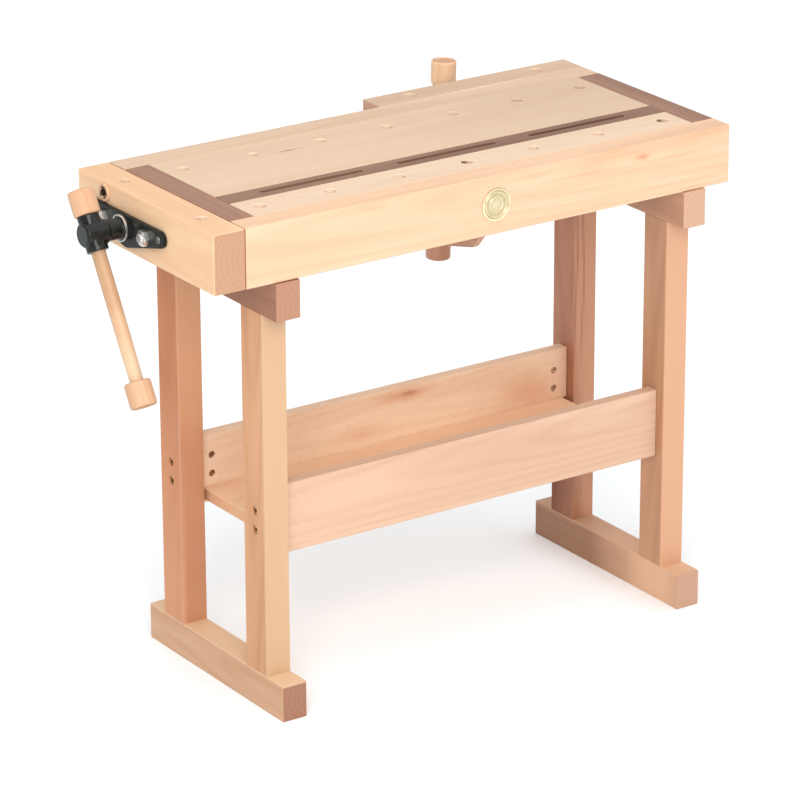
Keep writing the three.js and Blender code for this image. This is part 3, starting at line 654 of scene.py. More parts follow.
def add_board(node, finish, slot, cutters=(), body="bench", ease=EASE):
    """A board in the place of a solid, eased and drilled."""
    shape = ease_edges(block(*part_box(node)), ease)
    return add_piece(node + "_board", drilled(shape, list(cutters)), finish, body, slot, (node,))


print("board helpers ready, edges eased by", EASE)

# %% [markdown]
# The bench top is a frame of two long beech rails and two walnut end bands round a core of two pale
# boards with a walnut band between them. Two rows of round dog holes run through the boards, and
# the band has three tool slots with round ends, as a router leaves them. The holes are spaced
# evenly about the middle of the slab, so their places come from a pitch and a count. Just under the
# rims of the near row runs a thin brown line, and two of its holes carry painted shade on their far
# walls. The far rail's edge has a painted highlight where the front jaw meets it, and the far board's
# right half carries painted shade.

# %% Bench top
DOG_RADIUS = 10 * MM
DOG_PITCH = 132 * MM
DOG_COUNT = 7
FAR_ROW_FROM_RAIL = 51 * MM
SLOT_LENGTH = 194 * MM
SLOT_WIDTH = 10 * MM
SLOT_PITCH = 262 * MM
SLOT_COUNT = 3
THROUGH = 70 * MM
NO_FOLD = 10.0
EVERYWHERE = 8000
STREAK_BROWN = (0.42, 0.26, 0.16)
STREAK_DARK = (0.24, 0.13, 0.07)
PAINTED_HOLE_SHADE = (0.13, 0.065, 0.035)
APRON_RED = (0.66, 0.33, 0.17)
BOARD_SHADE = (0.52, 0.36, 0.25)
KNOT_RED = (0.60, 0.22, 0.10)
KNOT_HEART = (0.33, 0.12, 0.06)
SHADED_HOLES = (3, 6)
# How strongly bore walls are painted paler: fresh-cut wood, and painted light inside the holes.
BORE_PALE = 0.6
# Place right of the slab's middle and down from its top, half length and half height in millimetres,
# strength and colour.
APRON_MARKS = [(294, 24, 20, 9, 0.65, KNOT_RED), (-240, 11, 40, 7, 0.25, KNOT_RED)]
for right, down in ((70, 15), (170, 32), (250, 13), (365, 34)):
    APRON_MARKS.append((right, down, 75, 5, 0.4, APRON_RED))
# Place right of the slab's middle and behind the far row of holes, half sizes, strength and colour.
FAR_BOARD_MARKS = (
    (-201, -15, (44, 5, 20), 0.5, STREAK_BROWN),
    (-205, -15, (20, 3, 20), 0.8, STREAK_DARK),
    # The last mark is painted shade over the board's right half.
    (330, 0, (330, 330, 60), 0.5, BOARD_SHADE),
)

apron_low, apron_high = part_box("near_apron")
slab_middle = middle_of("near_apron").x
top_level = apron_high.z
near_row = middle_of("near_board").y
far_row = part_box("far_rail")[0].y - FAR_ROW_FROM_RAIL
dog_lines = [slab_middle + (i - (DOG_COUNT - 1) / 2) * DOG_PITCH for i in range(DOG_COUNT)]
slot_lines = [slab_middle + (i - (SLOT_COUNT - 1) / 2) * SLOT_PITCH for i in range(SLOT_COUNT)]


def slot_cutter(x, y):
    """A slot's cutter with round ends."""
    reach = (SLOT_LENGTH - SLOT_WIDTH) / 2
    half = SLOT_WIDTH / 2
    shape = block((x - reach, y - half, top_level - THROUGH), (x + reach, y + half, top_level + MM))
    for end in (x - reach, x + reach):
        bore = rod(half, -THROUGH, MM, Matrix.Translation((end, y, top_level)))
        shape = combined(shape, bore, "UNION")
    return shape


apron_marks = []
for right, down, length, height, strength, colour in APRON_MARKS:
    spot = (slab_middle + right * MM, apron_low.y, top_level - down * MM)
    apron_marks.append(oval(spot, (length, 20, height), strength, colour))
finish = timber_finish("near_apron", GRAIN["x"], "apron_beech", 0.8, marks=apron_marks)
add_board("near_apron", finish, "beech")
# A painted highlight along the far rail's edge, where the front jaw meets it.
rail_edge = (middle_of("front_jaw").x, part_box("far_rail")[1].y, top_level)
rail_highlight = oval(rail_edge, (260, 5, 8), 1.0, FRESH_CUT_AND_HIGHLIGHT)
add_board("far_rail", timber_finish("far_rail", GRAIN["x"], contrast=0.7, marks=[rail_highlight]), "beech")
near_marks = [oval((0, 0, top_level - 2 * MM), (EVERYWHERE, EVERYWHERE, 1.1), 0.3, STREAK_BROWN)]
# Painted shade on the far walls of two holes in the near row.
for i in SHADED_HOLES:
    wall = (dog_lines[i] - 2 * MM, near_row + 8 * MM, top_level - 4 * MM)
    near_marks.append(oval(wall, (14, 8.5, 4.2), 1.1, PAINTED_HOLE_SHADE))
far_marks = []
for right, behind, size, strength, colour in FAR_BOARD_MARKS:
    spot = (slab_middle + right * MM, far_row + behind * MM, top_level)
    far_marks.append(oval(spot, size, strength, colour))
for node, row, contrast, marks in (
    ("near_board", near_row, 0.5, near_marks),
    ("far_board", far_row, 0.6, far_marks),
):
    bores = (Vector((dog_lines[0], row, 0)), Vector((DOG_PITCH, NO_FOLD, NO_FOLD)), BORE_PALE)
    finish = timber_finish(node, GRAIN["x"], contrast=contrast, marks=marks, bores=bores)
    holes = [drill((x, row, top_level), "-z", DOG_RADIUS, THROUGH) for x in dog_lines]
    add_board(node, finish, "pale_beech", holes)
for node in ("left_end_band", "right_end_band"):
    add_board(node, timber_finish(node, GRAIN["y"], "walnut", 0.9, 0.2), "walnut")
slots = [slot_cutter(x, middle_of("tool_slot_band").y) for x in slot_lines]
finish = timber_finish("tool_slot_band", GRAIN["x"], "band_walnut", 0.9, 0.2)
add_board("tool_slot_band", finish, "walnut", slots)
print("dog holes:", 2 * DOG_COUNT, "tool slots:", SLOT_COUNT)

# %% [markdown]
# The badge on the apron is a brass disc. It is turned, so it is one profile spun round: a plain
# rim, a groove, two fine rings and a shallow dome. It carries no words or sign.

# %% Apron badge
BADGE_PROFILE = [
    (0, 0), (1, 0), (1, 0.8), (0.95, 1), (0.87, 1), (0.84, 0.55), (0.8, 0.55), (0.78, 0.85),
    (0.72, 0.85), (0.7, 0.6), (0.5, 0.62), (0.48, 0.82), (0.43, 0.82), (0.41, 0.64), (0.2, 0.74),
    (0, 0.78),
]
BADGE_STEPS = 96
BADGE_EASE = 0.15 * MM
TARNISH = (0.50, 0.36, 0.17)
badge_low, badge_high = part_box("apron_badge")
badge_middle = middle_of("apron_badge")
badge_radius = (badge_high.x - badge_low.x) / 2
badge_thick = badge_high.y - badge_low.y
brass = metal_finish("brass", (TARNISH, badge_low.y + 0.1 * badge_thick, 0.4 * badge_thick))
badge = turned(
    [(radius * badge_radius, height * badge_thick) for radius, height in BADGE_PROFILE],
    Matrix.Translation((badge_middle.x, badge_high.y, badge_middle.z)) @ AXES["-y"], BADGE_STEPS,
)
ease_edges(badge, BADGE_EASE, 2, math.radians(25))
add_piece("apron_badge_disc", badge, brass, "bench", "brass", ("apron_badge",))
print("badge radius", round(badge_radius, 4))

# %% [markdown]
# Each trestle is a foot, two legs and a bearer, all of one thickness. The tenons are hidden, so a leg
# is shown only between the foot and the bearer. It is glued flush to them, so only its four long
# edges are eased and its shoulders stay tight. The legs have two sunk holes each for the bolts, and
# each leg's front face is paler with painted light. The tops of the feet carry painted light, and so
# does the right foot's near part. The far left leg reddens low down in front. The far right leg shows
# two wavering dark streaks, each a row of overlapping ovals, and carries painted shade low down.

# %% Trestles
TRESTLE_EASE = 0.9 * MM
BOLT_SEAT_RADIUS = 7 * MM
BOLT_SEAT_DEPTH = 9 * MM
BOLT_SEAT_CHAMFER = 1.3 * MM
ROWS = ("near", "far")
SIDES = ("left", "right")
LEVELS = ("low", "high")
# Painted light on the tops of the feet and on the right foot's near part.
LIT_FOOT_TOPS = {"left": (0.69, 0.475, 0.3), "right": (0.51, 0.315, 0.203)}
LIT_FOOT_NEAR = (0.64, 0.385, 0.24)
FOOT_END = (0.5, 0.283, 0.188)
LEG_RED = (0.45, 0.195, 0.098)
LEG_PALE = (0.62, 0.32, 0.18)
# Painted shade low on the far right leg.
LEG_SHADE = (0.2, 0.068, 0.03)
LEG_STREAK = (0.27, 0.08, 0.04)
STREAK_LINES = (4, 18)
STREAK_OVALS = 6
STREAK_START = 420
STREAK_STEP = 62
STREAK_WANDER = 2.5


def leg_shape(low, high):
    """A leg's post with its upright edges eased."""
    shape = block(low, high)
    upright = [edge for edge in shape.edges if abs(edge.verts[0].co.z - edge.verts[1].co.z) > MM]
    return bevel(shape, upright, TRESTLE_EASE, 3)


def foot_marks(side):
    """A foot's top in painted light, and the right foot's near part in painted light and its pink end.
    """
    low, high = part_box(f"{side}_foot")
    marks = [oval((0, 0, high.z), (EVERYWHERE, EVERYWHERE, 4), 0.85, LIT_FOOT_TOPS[side])]
    if side == "right":
        marks.append(oval((0, low.y + 50 * MM, 0), (EVERYWHERE, 225, EVERYWHERE), 1.0, LIT_FOOT_NEAR))
        marks.append(oval((0, low.y, 0), (EVERYWHERE, 2.5, EVERYWHERE), 1.0, FOOT_END))
    return marks


def leg_marks(node, low, high):
    """A leg's front face in painted light, and the far legs' patches, painted shade and streaks."""
    marks = [oval((0, low.y, 0), (EVERYWHERE, 6, EVERYWHERE), 0.85, PAINTED_LIGHT_FRONTS[node])]
    if node == "left_far_leg":
        marks.append(oval((0, low.y, low.z + 100 * MM), (EVERYWHERE, 8, 480), 1.0, LEG_RED))
        marks.append(oval((low.x, 0, low.z), (10, EVERYWHERE, 400), 0.5, LEG_PALE))
    if node == "right_far_leg":
        marks.append(oval((low.x, high.y, low.z), (34, 140, 370), 1.0, LEG_SHADE))
        for line, i in itertools.product(STREAK_LINES, range(STREAK_OVALS)):
            reach = line + STREAK_WANDER * math.sin(1.7 * i + line)
            spot = (low.x + reach * MM, low.y, (STREAK_START + STREAK_STEP * i) * MM)
            marks.append(oval(spot, (3.2, 9, 75), 0.5, LEG_STREAK))
    return marks


for side, inward in zip(SIDES, ("x", "-x")):
    foot_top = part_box(f"{side}_foot")[1].z
    bearer_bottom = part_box(f"{side}_bearer")[0].z
    for member, marks in (("foot", foot_marks(side)), ("bearer", [])):
        node = f"{side}_{member}"
        finish = timber_finish(node, GRAIN["y"], marks=marks)
        add_board(node, finish, "beech", ease=TRESTLE_EASE)
    for row in ROWS:
        node = f"{side}_{row}_leg"
        low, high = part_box(node)
        low.z = foot_top
        high.z = bearer_bottom
        face = low.x if side == "left" else high.x
        seats = []
        for level in LEVELS:
            bolt = middle_of(f"stretcher_bolt_{row}_{side}_{level}")
            spot = (face, bolt.y, bolt.z)
            seats.append(drill(spot, inward, BOLT_SEAT_RADIUS, BOLT_SEAT_DEPTH, BOLT_SEAT_CHAMFER))
        finish = timber_finish(node, GRAIN["z"], marks=leg_marks(node, low, high))
        post = drilled(leg_shape(low, high), seats)
        add_piece(node + "_post", post, finish, "bench", "beech", (node,))
    print(side, "trestle legs from", round(foot_top, 3), "to", round(bearer_bottom, 3))

# %% [markdown]
# The middle bearer under the slab is swept up at both ends. Its outline is not a plain block, so a
# copy of its solid is merged, its flat faces are joined again and its edges are eased. The two
# vise back plates are treated the same way, in iron.

# %% Middle bearer and back plates
BACK_PLATE_EASE = 0.15 * MM


def eased_copy(node, offset):
    """A copy of a solid with its triangles joined into faces and its edges eased."""
    shape = bmesh.new()
    shape.from_mesh(frame["nodes"][node].data)
    bmesh.ops.remove_doubles(shape, verts=shape.verts, dist=1e-5)
    bmesh.ops.dissolve_limit(shape, angle_limit=math.radians(1), verts=shape.verts, edges=shape.edges)
    return ease_edges(shape, offset, 2)


finish = timber_finish("middle_bearer", GRAIN["y"])
bearer = eased_copy("middle_bearer", TRESTLE_EASE)
add_piece("middle_bearer_board", bearer, finish, "bench", "beech", ("middle_bearer",))
for vise in ("end", "front"):
    node = f"{vise}_vise_back_plate"
    casting = eased_copy(node, BACK_PLATE_EASE)
    add_piece(node + "_casting", casting, BLACK_CASTING, "bench", "black_iron", (node,))
print("middle bearer and two back plates copied")

# %% [markdown]
# Two stretchers join the trestles and hold the shelf in a groove. On their inner faces are the holes
# of the barrel nuts that the bolts pull against. The far stretcher has a red-brown knot, drawn as
# an oval mark with a darker heart, two red blushes, and a darker right end.

# %% Stretchers and shelf
END_TONE = (0.62, 0.38, 0.235)
NUT_HOLE_RADIUS = 6 * MM
NUT_HOLE_DEPTH = 19 * MM
GROOVE_GAP = 0.3 * MM
PAST = 5 * MM


def far_stretcher_marks(low, high, inner):
    """The knot and its heart, a blush beside it, the darker right end and a blush on that."""
    knot = Vector((slab_middle + 36 * MM, inner, low.z + 104 * MM))
    return [
        oval(knot, (76, 30, 16), 0.55, KNOT_RED),
        oval(knot + Vector((10, 0, 2)) * MM, (22, 20, 6), 0.5, KNOT_HEART),
        oval(knot + Vector((-90, 0, -50)) * MM, (64, 30, 26), 0.24, KNOT_RED),
        oval((high.x, inner, low.z), (260, 30, 300), 0.55, END_TONE),
        oval((high.x - 80 * MM, inner, low.z + 55 * MM), (80, 30, 42), 0.4, KNOT_RED),
    ]


shelf_low, shelf_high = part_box("shelf")
for row in ROWS:
    node = f"{row}_stretcher"
    low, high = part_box(node)
    if row == "near":
        inner = high.y
        into = "-y"
        groove_sides = (shelf_low.y - GROOVE_GAP, inner + PAST)
    else:
        inner = low.y
        into = "y"
        groove_sides = (inner - PAST, shelf_high.y + GROOVE_GAP)
    groove = block((low.x - MM, groove_sides[0], shelf_low.z - GROOVE_GAP),
                   (high.x + MM, groove_sides[1], shelf_high.z + GROOVE_GAP))
    holes = [groove]
    for side, level in itertools.product(SIDES, LEVELS):
        nut = middle_of(f"barrel_nut_{row}_{side}_{level}")
        holes.append(drill((nut.x, inner, nut.z), into, NUT_HOLE_RADIUS, NUT_HOLE_DEPTH))
    marks = far_stretcher_marks(low, high, inner) if row == "far" else []
    add_board(node, timber_finish(node, GRAIN["x"], contrast=0.75, marks=marks), "beech", holes)
add_board("shelf", timber_finish("shelf", GRAIN["x"]), "beech")
print("shelf depth", round(shelf_high.y - shelf_low.y, 3))

# %% [markdown]
# The bolts have round heads with six-sided sockets, and the barrel nuts a slot for a screwdriver. All
# eight of each are alike, so each is one function, and its places come from the solids.

# %% Bolts and barrel nuts
HEAD_RADIUS = 6.5 * MM
HEAD_LENGTH = 6 * MM
SHANK_RADIUS = 4 * MM
SOCKET_RADIUS = 3.6 * MM
SOCKET_DEPTH = 3.5 * MM
NUT_RADIUS = 5.5 * MM
NUT_SLOT = 1.6 * MM
HEAD_EASE = 0.6 * MM
NUT_EASE = 0.5 * MM
SMALL_STEPS = 32


def bolt_shape(length):
    """A socket bolt along z, its head's face at z = 0 and its shank running to plus z."""
    head = turned([(0, 0), (HEAD_RADIUS, 0), (HEAD_RADIUS, HEAD_LENGTH), (SHANK_RADIUS, HEAD_LENGTH),
                   (SHANK_RADIUS, length), (0, length)], steps=SMALL_STEPS)
    ease_edges(head, HEAD_EASE, 2)
    return combined(head, rod(SOCKET_RADIUS, -MM, SOCKET_DEPTH, steps=6))


def barrel_nut_shape(length):
    """A barrel nut along z with a screwdriver slot in its face at z = 0."""
    barrel = ease_edges(rod(NUT_RADIUS, 0, length, steps=SMALL_STEPS), NUT_EASE, 2)
    slot = block((-NUT_RADIUS * 2, -NUT_SLOT / 2, -MM), (NUT_RADIUS * 2, NUT_SLOT / 2, NUT_SLOT))
    return combined(barrel, slot)


def place_piece(name, shape, place, *details):
    """Puts a shape in place and adds it."""
    return add_piece(name, moved(shape, place), *details)


for row, side, level in itertools.product(ROWS, SIDES, LEVELS):
    bolt_way = "x" if side == "left" else "-x"
    nut_way = "y" if row == "far" else "-y"
    for kind, way, make in (
        ("stretcher_bolt", bolt_way, bolt_shape),
        ("barrel_nut", nut_way, barrel_nut_shape),
    ):
        node = f"{kind}_{row}_{side}_{level}"
        low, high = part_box(node)
        axis = "xyz".index(way[-1])
        spot = middle_of(node)
        spot[axis] = high[axis] if way.startswith("-") else low[axis]
        place = Matrix.Translation(spot) @ AXES[way]
        shape = make(high[axis] - low[axis])
        place_piece(node + "_steel", shape, place, BROWN_STEEL, "bench", "zinc_steel", (node,))
print("bolts and barrel nuts: 8 each")

# %% [markdown]
# Both vises carry the same ironwork, so it is modelled once in a frame of its own: x runs across the
# jaw, y out of its face and z up. A matrix for each vise then puts every shape in place. The origin
# of each frame is where the screw leaves the outer face of the jaw. A second matrix for each vise
# is turned about the screw until z follows the handle.

# %% Vise frames
END_OUT = Matrix.Rotation(math.pi / 2, 4, "Z")


def rods_middle(vise):
    """The point midway between a vise's guide rods, on the screw's axis."""
    return (middle_of(f"{vise}_guide_rod_a") + middle_of(f"{vise}_guide_rod_b")) / 2


def handle_direction(vise):
    """The way a handle slides up, from its joint."""
    joint = next(item for item in frame["joints"] if item["name"] == f"{vise}_handle_slide")
    return Vector(joint["axis"]).normalized()


def handle_frame(vise, place):
    """The vise's frame turned about its screw so that z follows the handle."""
    up = place.inverted().to_3x3() @ handle_direction(vise)
    return place @ Matrix.Rotation(math.atan2(up.x, up.z), 4, "Y")


end_origin = rods_middle("end")
end_origin.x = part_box("end_jaw")[0].x
front_origin = rods_middle("front")
front_origin.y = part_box("front_jaw")[1].y
VISES = {"end": Matrix.Translation(end_origin) @ END_OUT, "front": Matrix.Translation(front_origin)}
HANDLES = {vise: handle_frame(vise, place) for vise, place in VISES.items()}
for vise, place in VISES.items():
    print(vise, "vise at", [round(value, 4) for value in place.translation])

# %% [markdown]
# The wooden jaws are thick beech blocks with round dog holes that line up with the rows in the slab, so
# their places are taken from those rows. They could be glued up from staves, but solid blocks need no
# more than the board helper. The end jaw also holds a turned ring, and its edges are rounded further,
# where hands and hips pass.

# %% Vise jaws
JAW_DOG_DEPTH = 40 * MM
END_JAW_EASE = 3.2 * MM
RING_BORE = 8 * MM
RING_SEAT = 15.7 * MM
RING_EASE = 2 * MM
RING_GAP = 0.3 * MM
RING_SEAT_CHAMFER = 0.2 * MM
BORE_DARK = (0.045, 0.028, 0.018)
end_line = middle_of("end_jaw").x
front_line = middle_of("front_jaw").y
front_low, front_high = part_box("front_jaw")
reachable = [x for x in dog_lines if front_low.x + 2 * DOG_RADIUS < x < front_high.x - 2 * DOG_RADIUS]
end_dogs = [Vector((end_line, row, top_level)) for row in (near_row, far_row)]
front_dogs = [Vector((x, front_line, top_level)) for x in (reachable[0], reachable[-1])]
ring_low, ring_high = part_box("end_jaw_ring")
ring_middle = middle_of("end_jaw_ring")
ring_radius = (ring_high.z - ring_low.z) / 2
ring_length = ring_high.x - ring_low.x
ring_place = Vector((end_origin.x, ring_middle.y, ring_middle.z))
ring_seat = drill(ring_place, "x", ring_radius + RING_GAP, RING_SEAT, RING_SEAT_CHAMFER)
# The jaws' bore walls are painted paler too: fresh-cut wood, and painted light inside the holes.
for node, grain, dogs, seats, strength, ease in (
    ("end_jaw", "y", end_dogs, [ring_seat], 0.55, END_JAW_EASE),
    ("front_jaw", "x", front_dogs, [], BORE_PALE, EASE),
):
    fold = dogs[1] - dogs[0]
    bores = (dogs[0], Vector([value if abs(value) > MM else NO_FOLD for value in fold]), strength)
    finish = timber_finish(node, GRAIN[grain], contrast=0.8, flecks=0.1, bores=bores)
    cutters = [drill(spot, "-z", DOG_RADIUS, JAW_DOG_DEPTH) for spot in dogs]
    add_board(node, finish, "beech", cutters + seats, node, ease)
ring = turned([(RING_BORE, 0), (ring_radius, 0), (ring_radius, ring_length), (RING_BORE, ring_length)],
              Matrix.Translation((ring_low.x, ring_middle.y, ring_middle.z)) @ AXES["x"], closed=True)
ease_edges(ring, RING_EASE, 4)
# Painted shade deep inside the ring's bore.
bore_shade = oval(ring_middle, (EVERYWHERE, 10.4, 10.4), 6.0, BORE_DARK)
finish = timber_finish("end_jaw_ring", GRAIN["x"], "front_handle_beech", marks=[bore_shade])
add_piece("end_jaw_ring_turning", ring, finish, "end_jaw", "pale_beech", ("end_jaw_ring",))
print("jaw dog holes:", len(end_dogs) + len(front_dogs))

# %% [markdown]
# The vise plate is a flat casting: two round lobes at its ends and a round hub below the middle, with
# a straight top edge. The outline is the hull of three discs cut off along the top, which is how a
# pattern maker draws it too. A low boss carries the screw, and two domed wood screws hold the plate.

# %% Vise plates
PLATE_BACK = 0.3 * MM
PLATE_FACE = 8.3 * MM
PLATE_TOP = 21 * MM
LOBE_RADIUS = 14 * MM
LOBE_ACROSS = 104 * MM
LOBE_UP = PLATE_TOP - LOBE_RADIUS
HUB_RADIUS = 34 * MM
BOSS_RADIUS = 20 * MM
BOSS_FACE = 13.3 * MM
SCREW_RADIUS = 12 * MM
WOOD_SCREW_RADIUS = 6 * MM
WOOD_SCREW_EASE = 0.3 * MM
SCREW_SLOT_HALF = 0.7 * MM
SCREW_SLOT_FLOOR = 1.8 * MM
DOME_PROFILE = [(0, -0.12), (1, -0.12), (1, 0.12), (0.84, 0.34), (0.52, 0.5), (0, 0.56)]
PLATE_EASE = 1.6 * MM
BOSS_EASE = 0.8 * MM


def plate_shape():
    """The plate's casting in the vise's frame."""
    shape = bmesh.new()
    discs = [(side * LOBE_ACROSS, LOBE_UP, LOBE_RADIUS) for side in (-1, 1)]
    for across, up, radius in discs + [(0, 0, HUB_RADIUS)]:
        for out in (PLATE_BACK, PLATE_FACE):
            place = Matrix.Translation((across, out, up)) @ AXES["y"]
            bmesh.ops.create_circle(shape, segments=ROUND_STEPS, radius=radius, matrix=place)
    hull = bmesh.ops.convex_hull(shape, input=shape.verts)
    bmesh.ops.delete(shape, geom=hull["geom_interior"] + hull["geom_unused"], context="VERTS")
    parts = shape.verts[:] + shape.edges[:] + shape.faces[:]
    cut = bmesh.ops.bisect_plane(shape, geom=parts, plane_co=(0, 0, PLATE_TOP), plane_no=(0, 0, 1),
                                 clear_outer=True)
    rim = [item for item in cut["geom_cut"] if isinstance(item, bmesh.types.BMEdge)]
    bmesh.ops.holes_fill(shape, edges=rim, sides=0)
    bmesh.ops.dissolve_limit(shape, angle_limit=math.radians(1), verts=shape.verts, edges=shape.edges)
    bmesh.ops.recalc_face_normals(shape, faces=shape.faces)
    ease_edges(shape, PLATE_EASE, 3)
    sunk = PLATE_FACE - MM
    boss = turned([(SCREW_RADIUS, sunk), (BOSS_RADIUS, sunk), (BOSS_RADIUS, BOSS_FACE),
                   (SCREW_RADIUS, BOSS_FACE)], AXES["y"], closed=True)
    return take_in(shape, ease_edges(boss, BOSS_EASE, 3))


def wood_screw_shape():
    """A domed screw head with a slot along z, its seat on the plate."""
    profile = [(radius * WOOD_SCREW_RADIUS, up * WOOD_SCREW_RADIUS) for radius, up in DOME_PROFILE]
    head = ease_edges(turned(profile, steps=SMALL_STEPS), WOOD_SCREW_EASE, 2)
    past = WOOD_SCREW_RADIUS + PROUD
    slot = block((-past, -SCREW_SLOT_HALF, SCREW_SLOT_FLOOR),
                 (past, SCREW_SLOT_HALF, WOOD_SCREW_RADIUS))
    return combined(head, slot)


for vise, place in VISES.items():
    body = f"{vise}_jaw"
    node = f"{vise}_vise_plate"
    place_piece(node + "_casting", plate_shape(), place, BLACK_CASTING, body, "black_iron", (node,))
    for label, side in (("a", -1), ("b", 1)):
        seat = Matrix.Translation((side * LOBE_ACROSS, PLATE_FACE, LOBE_UP)) @ AXES["y"]
        spot = place @ seat @ Matrix.Rotation(math.radians(25 + 40 * side), 4, "Z")
        name = f"{vise}_wood_screw_{label}"
        place_piece(name, wood_screw_shape(), spot, BLUED_STEEL, body, "black_iron")
print("vise plates", round(2 * (LOBE_ACROSS + LOBE_RADIUS), 3), "m long")

# %% [markdown]
# Two steel rods guide each jaw. Each is turned, with a threaded end that a six-sided nut holds against
# the plate. The nut's corners are rounded off by a cone, as they are on a real nut: the boolean
# keeps what the hexagon and the cone have in common.

# %% Guide rods and nuts
ROD_RADIUS = 8 * MM
THREAD_PITCH = 2 * MM
THREAD_DEPTH = 0.7 * MM
NUT_ACROSS = 24 * MM
NUT_SEAT = 8.6 * MM
NUT_TOP = 17.6 * MM


def threaded(radius, start, end, pitch, depth):
    """Profile points of thread ridges along a stretch of a shaft."""
    points = []
    for i in range(round((end - start) / pitch)):
        points.append((radius - depth, start + i * pitch))
        points.append((radius, start + (i + 0.5) * pitch))
    return points


def rod_shape(start, end):
    """A guide rod along z with a threaded outer end."""
    profile = [(0, start), (ROD_RADIUS - MM, start), (ROD_RADIUS, start + MM), (ROD_RADIUS, NUT_SEAT)]
    profile += threaded(ROD_RADIUS, NUT_SEAT, end - 1.5 * MM, THREAD_PITCH, THREAD_DEPTH)
    profile += [(ROD_RADIUS - 1.5 * MM, end), (0, end)]
    return turned(profile)


def nut_shape():
    """A chamfered six-sided nut along z, seated on the plate's face."""
    corner = NUT_ACROSS / 2 / math.cos(math.pi / 6)
    cone = turned([(0, NUT_SEAT - MM), (corner + MM, NUT_SEAT - MM), (corner + MM, NUT_TOP - 3 * MM),
                   (NUT_ACROSS / 2 - 0.5 * MM, NUT_TOP), (0, NUT_TOP)])
    nut = combined(rod(corner, NUT_SEAT, NUT_TOP, steps=6), cone, "INTERSECT")
    return combined(nut, rod(ROD_RADIUS, 0, 2 * NUT_TOP))


for vise, place in VISES.items():
    for label in ("a", "b"):
        guide = f"{vise}_guide_rod_{label}"
        nut = f"{vise}_rod_nut_{label}"
        local = place.inverted() @ middle_of(guide)
        low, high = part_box(guide)
        half = max(high - low) / 2
        spot = place @ Matrix.Translation((local.x, 0, local.z)) @ AXES["y"]
        for node, shape in ((guide, rod_shape(local.y - half, local.y + half)), (nut, nut_shape())):
            place_piece(node + "_steel", shape, spot, ZINC, f"{vise}_jaw", "zinc_steel", (node,))
print("guide rods: 4, nuts: 4")

# %% [markdown]
# The vise screw is turned in one piece: thread, collar, barrel and head. The head has a cross boss for
# the handle, and the collar a bright steel rim where it rubs. The thread could be a true spiral, but
# at this size rings with the right pitch read the same, and they stay clean when the screw turns.

# %% Vise screws
LEAD = 6 * MM
COLLAR_START = 13.7 * MM
COLLAR_END = 18.7 * MM
COLLAR_RADIUS = 22 * MM
RIM_WIDTH = 1.6 * MM
BARREL_RADIUS = 17.5 * MM
HEAD_REACH = 66 * MM
SCREW_HEAD_RADIUS = 21 * MM
SCREW_HEAD_HALF = 20 * MM
CROSS_RADIUS = 18 * MM
CROSS_HALF = 30 * MM
BAR_RADIUS = 12 * MM
BAR_PLAY = 0.4 * MM
SCREW_TAIL = 290 * MM
THREAD_END = 70 * MM
SCREW_THREAD_DEPTH = 2.2 * MM
BODY_EASE = 1.0 * MM
CROSS_EASE = 2.0 * MM
RIM_PROUD = 0.1 * MM
RIM_EASE = 0.4 * MM


def screw_shaft():
    """The threaded shaft along z, from its tail to the collar."""
    profile = [(0, -SCREW_TAIL), (SCREW_RADIUS - 2.5 * MM, -SCREW_TAIL)]
    profile += threaded(SCREW_RADIUS, -SCREW_TAIL + 2 * MM, -THREAD_END, LEAD, SCREW_THREAD_DEPTH)
    profile += [(SCREW_RADIUS, -THREAD_END + LEAD / 2), (SCREW_RADIUS, COLLAR_START), (0, COLLAR_START)]
    return turned(profile)


def screw_head():
    """Collar, barrel, head and cross boss, with the handle's bore, along z."""
    chamfer = SCREW_HEAD_RADIUS - BARREL_RADIUS
    head_start = HEAD_REACH - SCREW_HEAD_HALF
    head_end = HEAD_REACH + SCREW_HEAD_HALF
    body = turned([
        (0, COLLAR_START), (COLLAR_RADIUS, COLLAR_START), (COLLAR_RADIUS, COLLAR_END),
        (BARREL_RADIUS + MM, COLLAR_END), (BARREL_RADIUS, COLLAR_END + 2 * MM),
        (BARREL_RADIUS, head_start - chamfer), (SCREW_HEAD_RADIUS, head_start),
        (SCREW_HEAD_RADIUS, head_end - chamfer), (BARREL_RADIUS, head_end), (0, head_end),
    ])
    ease_edges(body, BODY_EASE, 3, math.radians(20))
    across = Matrix.Translation((0, 0, HEAD_REACH)) @ AXES["y"]
    cross = ease_edges(rod(CROSS_RADIUS, -CROSS_HALF, CROSS_HALF), CROSS_EASE, 3)
    head = combined(body, moved(cross, across), "UNION")
    return combined(head, rod(BAR_RADIUS + BAR_PLAY, -2 * CROSS_HALF, 2 * CROSS_HALF, across))


def collar_rim():
    """The collar's bright outer rim, a hair proud of it, along z."""
    outer = COLLAR_RADIUS + RIM_PROUD
    face = COLLAR_END + RIM_PROUD
    back = COLLAR_START + MM
    inner = outer - RIM_WIDTH
    rim = turned([(inner, back), (outer, back), (outer, face), (inner, face)], closed=True)
    return ease_edges(rim, RIM_EASE, 2)


for vise, place in HANDLES.items():
    body = f"{vise}_screw"
    node = f"{vise}_vise_screw"
    spot = place @ AXES["y"]
    shape = take_in(screw_shaft(), screw_head())
    place_piece(node + "_iron", shape, spot, BLACK_IRON, body, "black_iron", (node,))
    place_piece(f"{vise}_collar_rim", collar_rim(), spot, ZINC, body, "zinc_steel")
print("vise screws with", round((SCREW_TAIL - THREAD_END) / LEAD), "threads each")

# %% [markdown]
# The handles are wooden bars with a turned knob at each end. The bar slides freely through the head, so
# it is a piece of its own with its knobs, and it swells a little at its middle. A knob is a short
# cylinder with round shoulders, and its end is turned hollow inside a rim. The end vise's bar is
# browner near its top and paler at its foot. The front vise's lower knob is a darker copy of its
# beech: painted shade, where it hangs under the slab.

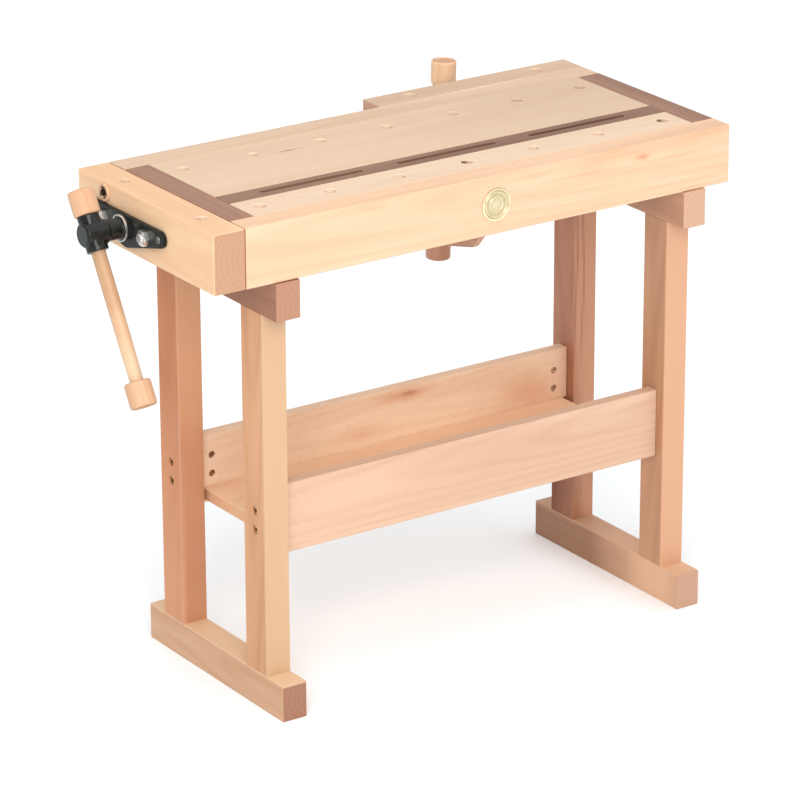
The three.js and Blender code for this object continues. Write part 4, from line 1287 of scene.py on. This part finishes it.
# %% Handles
KNOB_RADIUS = 22 * MM
KNOB_LENGTH = 42 * MM
KNOB_EDGE = 4 * MM
KNOB_BORE = 28 * MM
END_RIM = 16 * MM
END_HOLLOW = 1.2 * MM
FREE_TOP = 30.3 * MM
FREE_LENGTH = 275 * MM
SWELL = 0.7 * MM
KNOB_GAP = 0.2 * MM
BAR_END_GAP = 0.3 * MM
KNOB_STEPS = 64
HANDLE_BROWN = (0.35, 0.22, 0.118)
HANDLE_PALE = (0.67, 0.525, 0.35)
TONE_REACH = (110, 110, 110)


def knob_shape():
    """A knob along z, its bored face at z = 0 and its hollowed end up."""
    hole = BAR_RADIUS - SWELL + KNOB_GAP
    shape = turned([
        (0, KNOB_BORE), (hole, KNOB_BORE), (hole, 0), (KNOB_RADIUS, 0), (KNOB_RADIUS, KNOB_LENGTH),
        (END_RIM, KNOB_LENGTH), (END_RIM - END_HOLLOW, KNOB_LENGTH - END_HOLLOW),
        (0, KNOB_LENGTH - 0.6 * END_HOLLOW),
    ], steps=KNOB_STEPS)
    shoulders = [
        edge for edge in shape.edges
        if edge.calc_face_angle(0) > math.radians(50) and edge.verts[0].co.xy.length > KNOB_RADIUS - MM
    ]
    return bevel(shape, shoulders, KNOB_EDGE, 5)


def bar_shape():
    """The handle's bar along z, a little thicker at its middle."""
    low = FREE_TOP - FREE_LENGTH
    slim = BAR_RADIUS - SWELL
    sunk = KNOB_BORE - BAR_END_GAP
    profile = [(0, low - sunk), (slim, low - sunk), (slim, low)]
    for share in (0.25, 0.5, 0.75):
        profile.append((slim + SWELL * math.sin(math.pi * share), low + share * FREE_LENGTH))
    profile += [(slim, FREE_TOP), (slim, FREE_TOP + sunk), (0, FREE_TOP + sunk)]
    return turned(profile)


for vise, place in HANDLES.items():
    grain = handle_direction(vise)
    centre = place @ Matrix.Translation((0, HEAD_REACH, 0))
    upper = centre @ Matrix.Translation((0, 0, FREE_TOP))
    lower = centre @ Matrix.Translation((0, 0, FREE_TOP - FREE_LENGTH)) @ AXES["-z"]
    bar_marks = []
    if vise == "end":
        for up, colour in ((-40 * MM, HANDLE_BROWN), (-235 * MM, HANDLE_PALE)):
            bar_marks.append(oval(centre @ Vector((0, 0, up)), TONE_REACH, 0.6, colour))
    for part, shape, spot, marks in (
        ("handle_bar", bar_shape(), centre, bar_marks),
        ("upper_knob", knob_shape(), upper, []),
        ("lower_knob", knob_shape(), lower, []),
    ):
        node = f"{vise}_{part}"
        # The front lower knob gets a darker copy of the beech: painted shade under the slab.
        kind = "shaded_beech" if node == "front_lower_knob" else f"{vise}_handle_beech"
        finish = timber_finish(node, grain, kind, marks=marks)
        place_piece(node + "_turning", shape, spot, finish, f"{vise}_handle", "beech", (node,))
print("handles", round(FREE_LENGTH, 3), "m between their knobs")

# %% [markdown]
# The last step measures the dressed bench and prints its box beside the solids' box, so that a piece
# that has grown past its solid is seen at once.

# %% Measure and finish
visual_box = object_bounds()
sizes = {"cad": [list(corner) for corner in cad_box], "visual": [list(corner) for corner in visual_box]}
for label, corners in sizes.items():
    print(label, [[round(value, 4) for value in corner] for corner in corners])
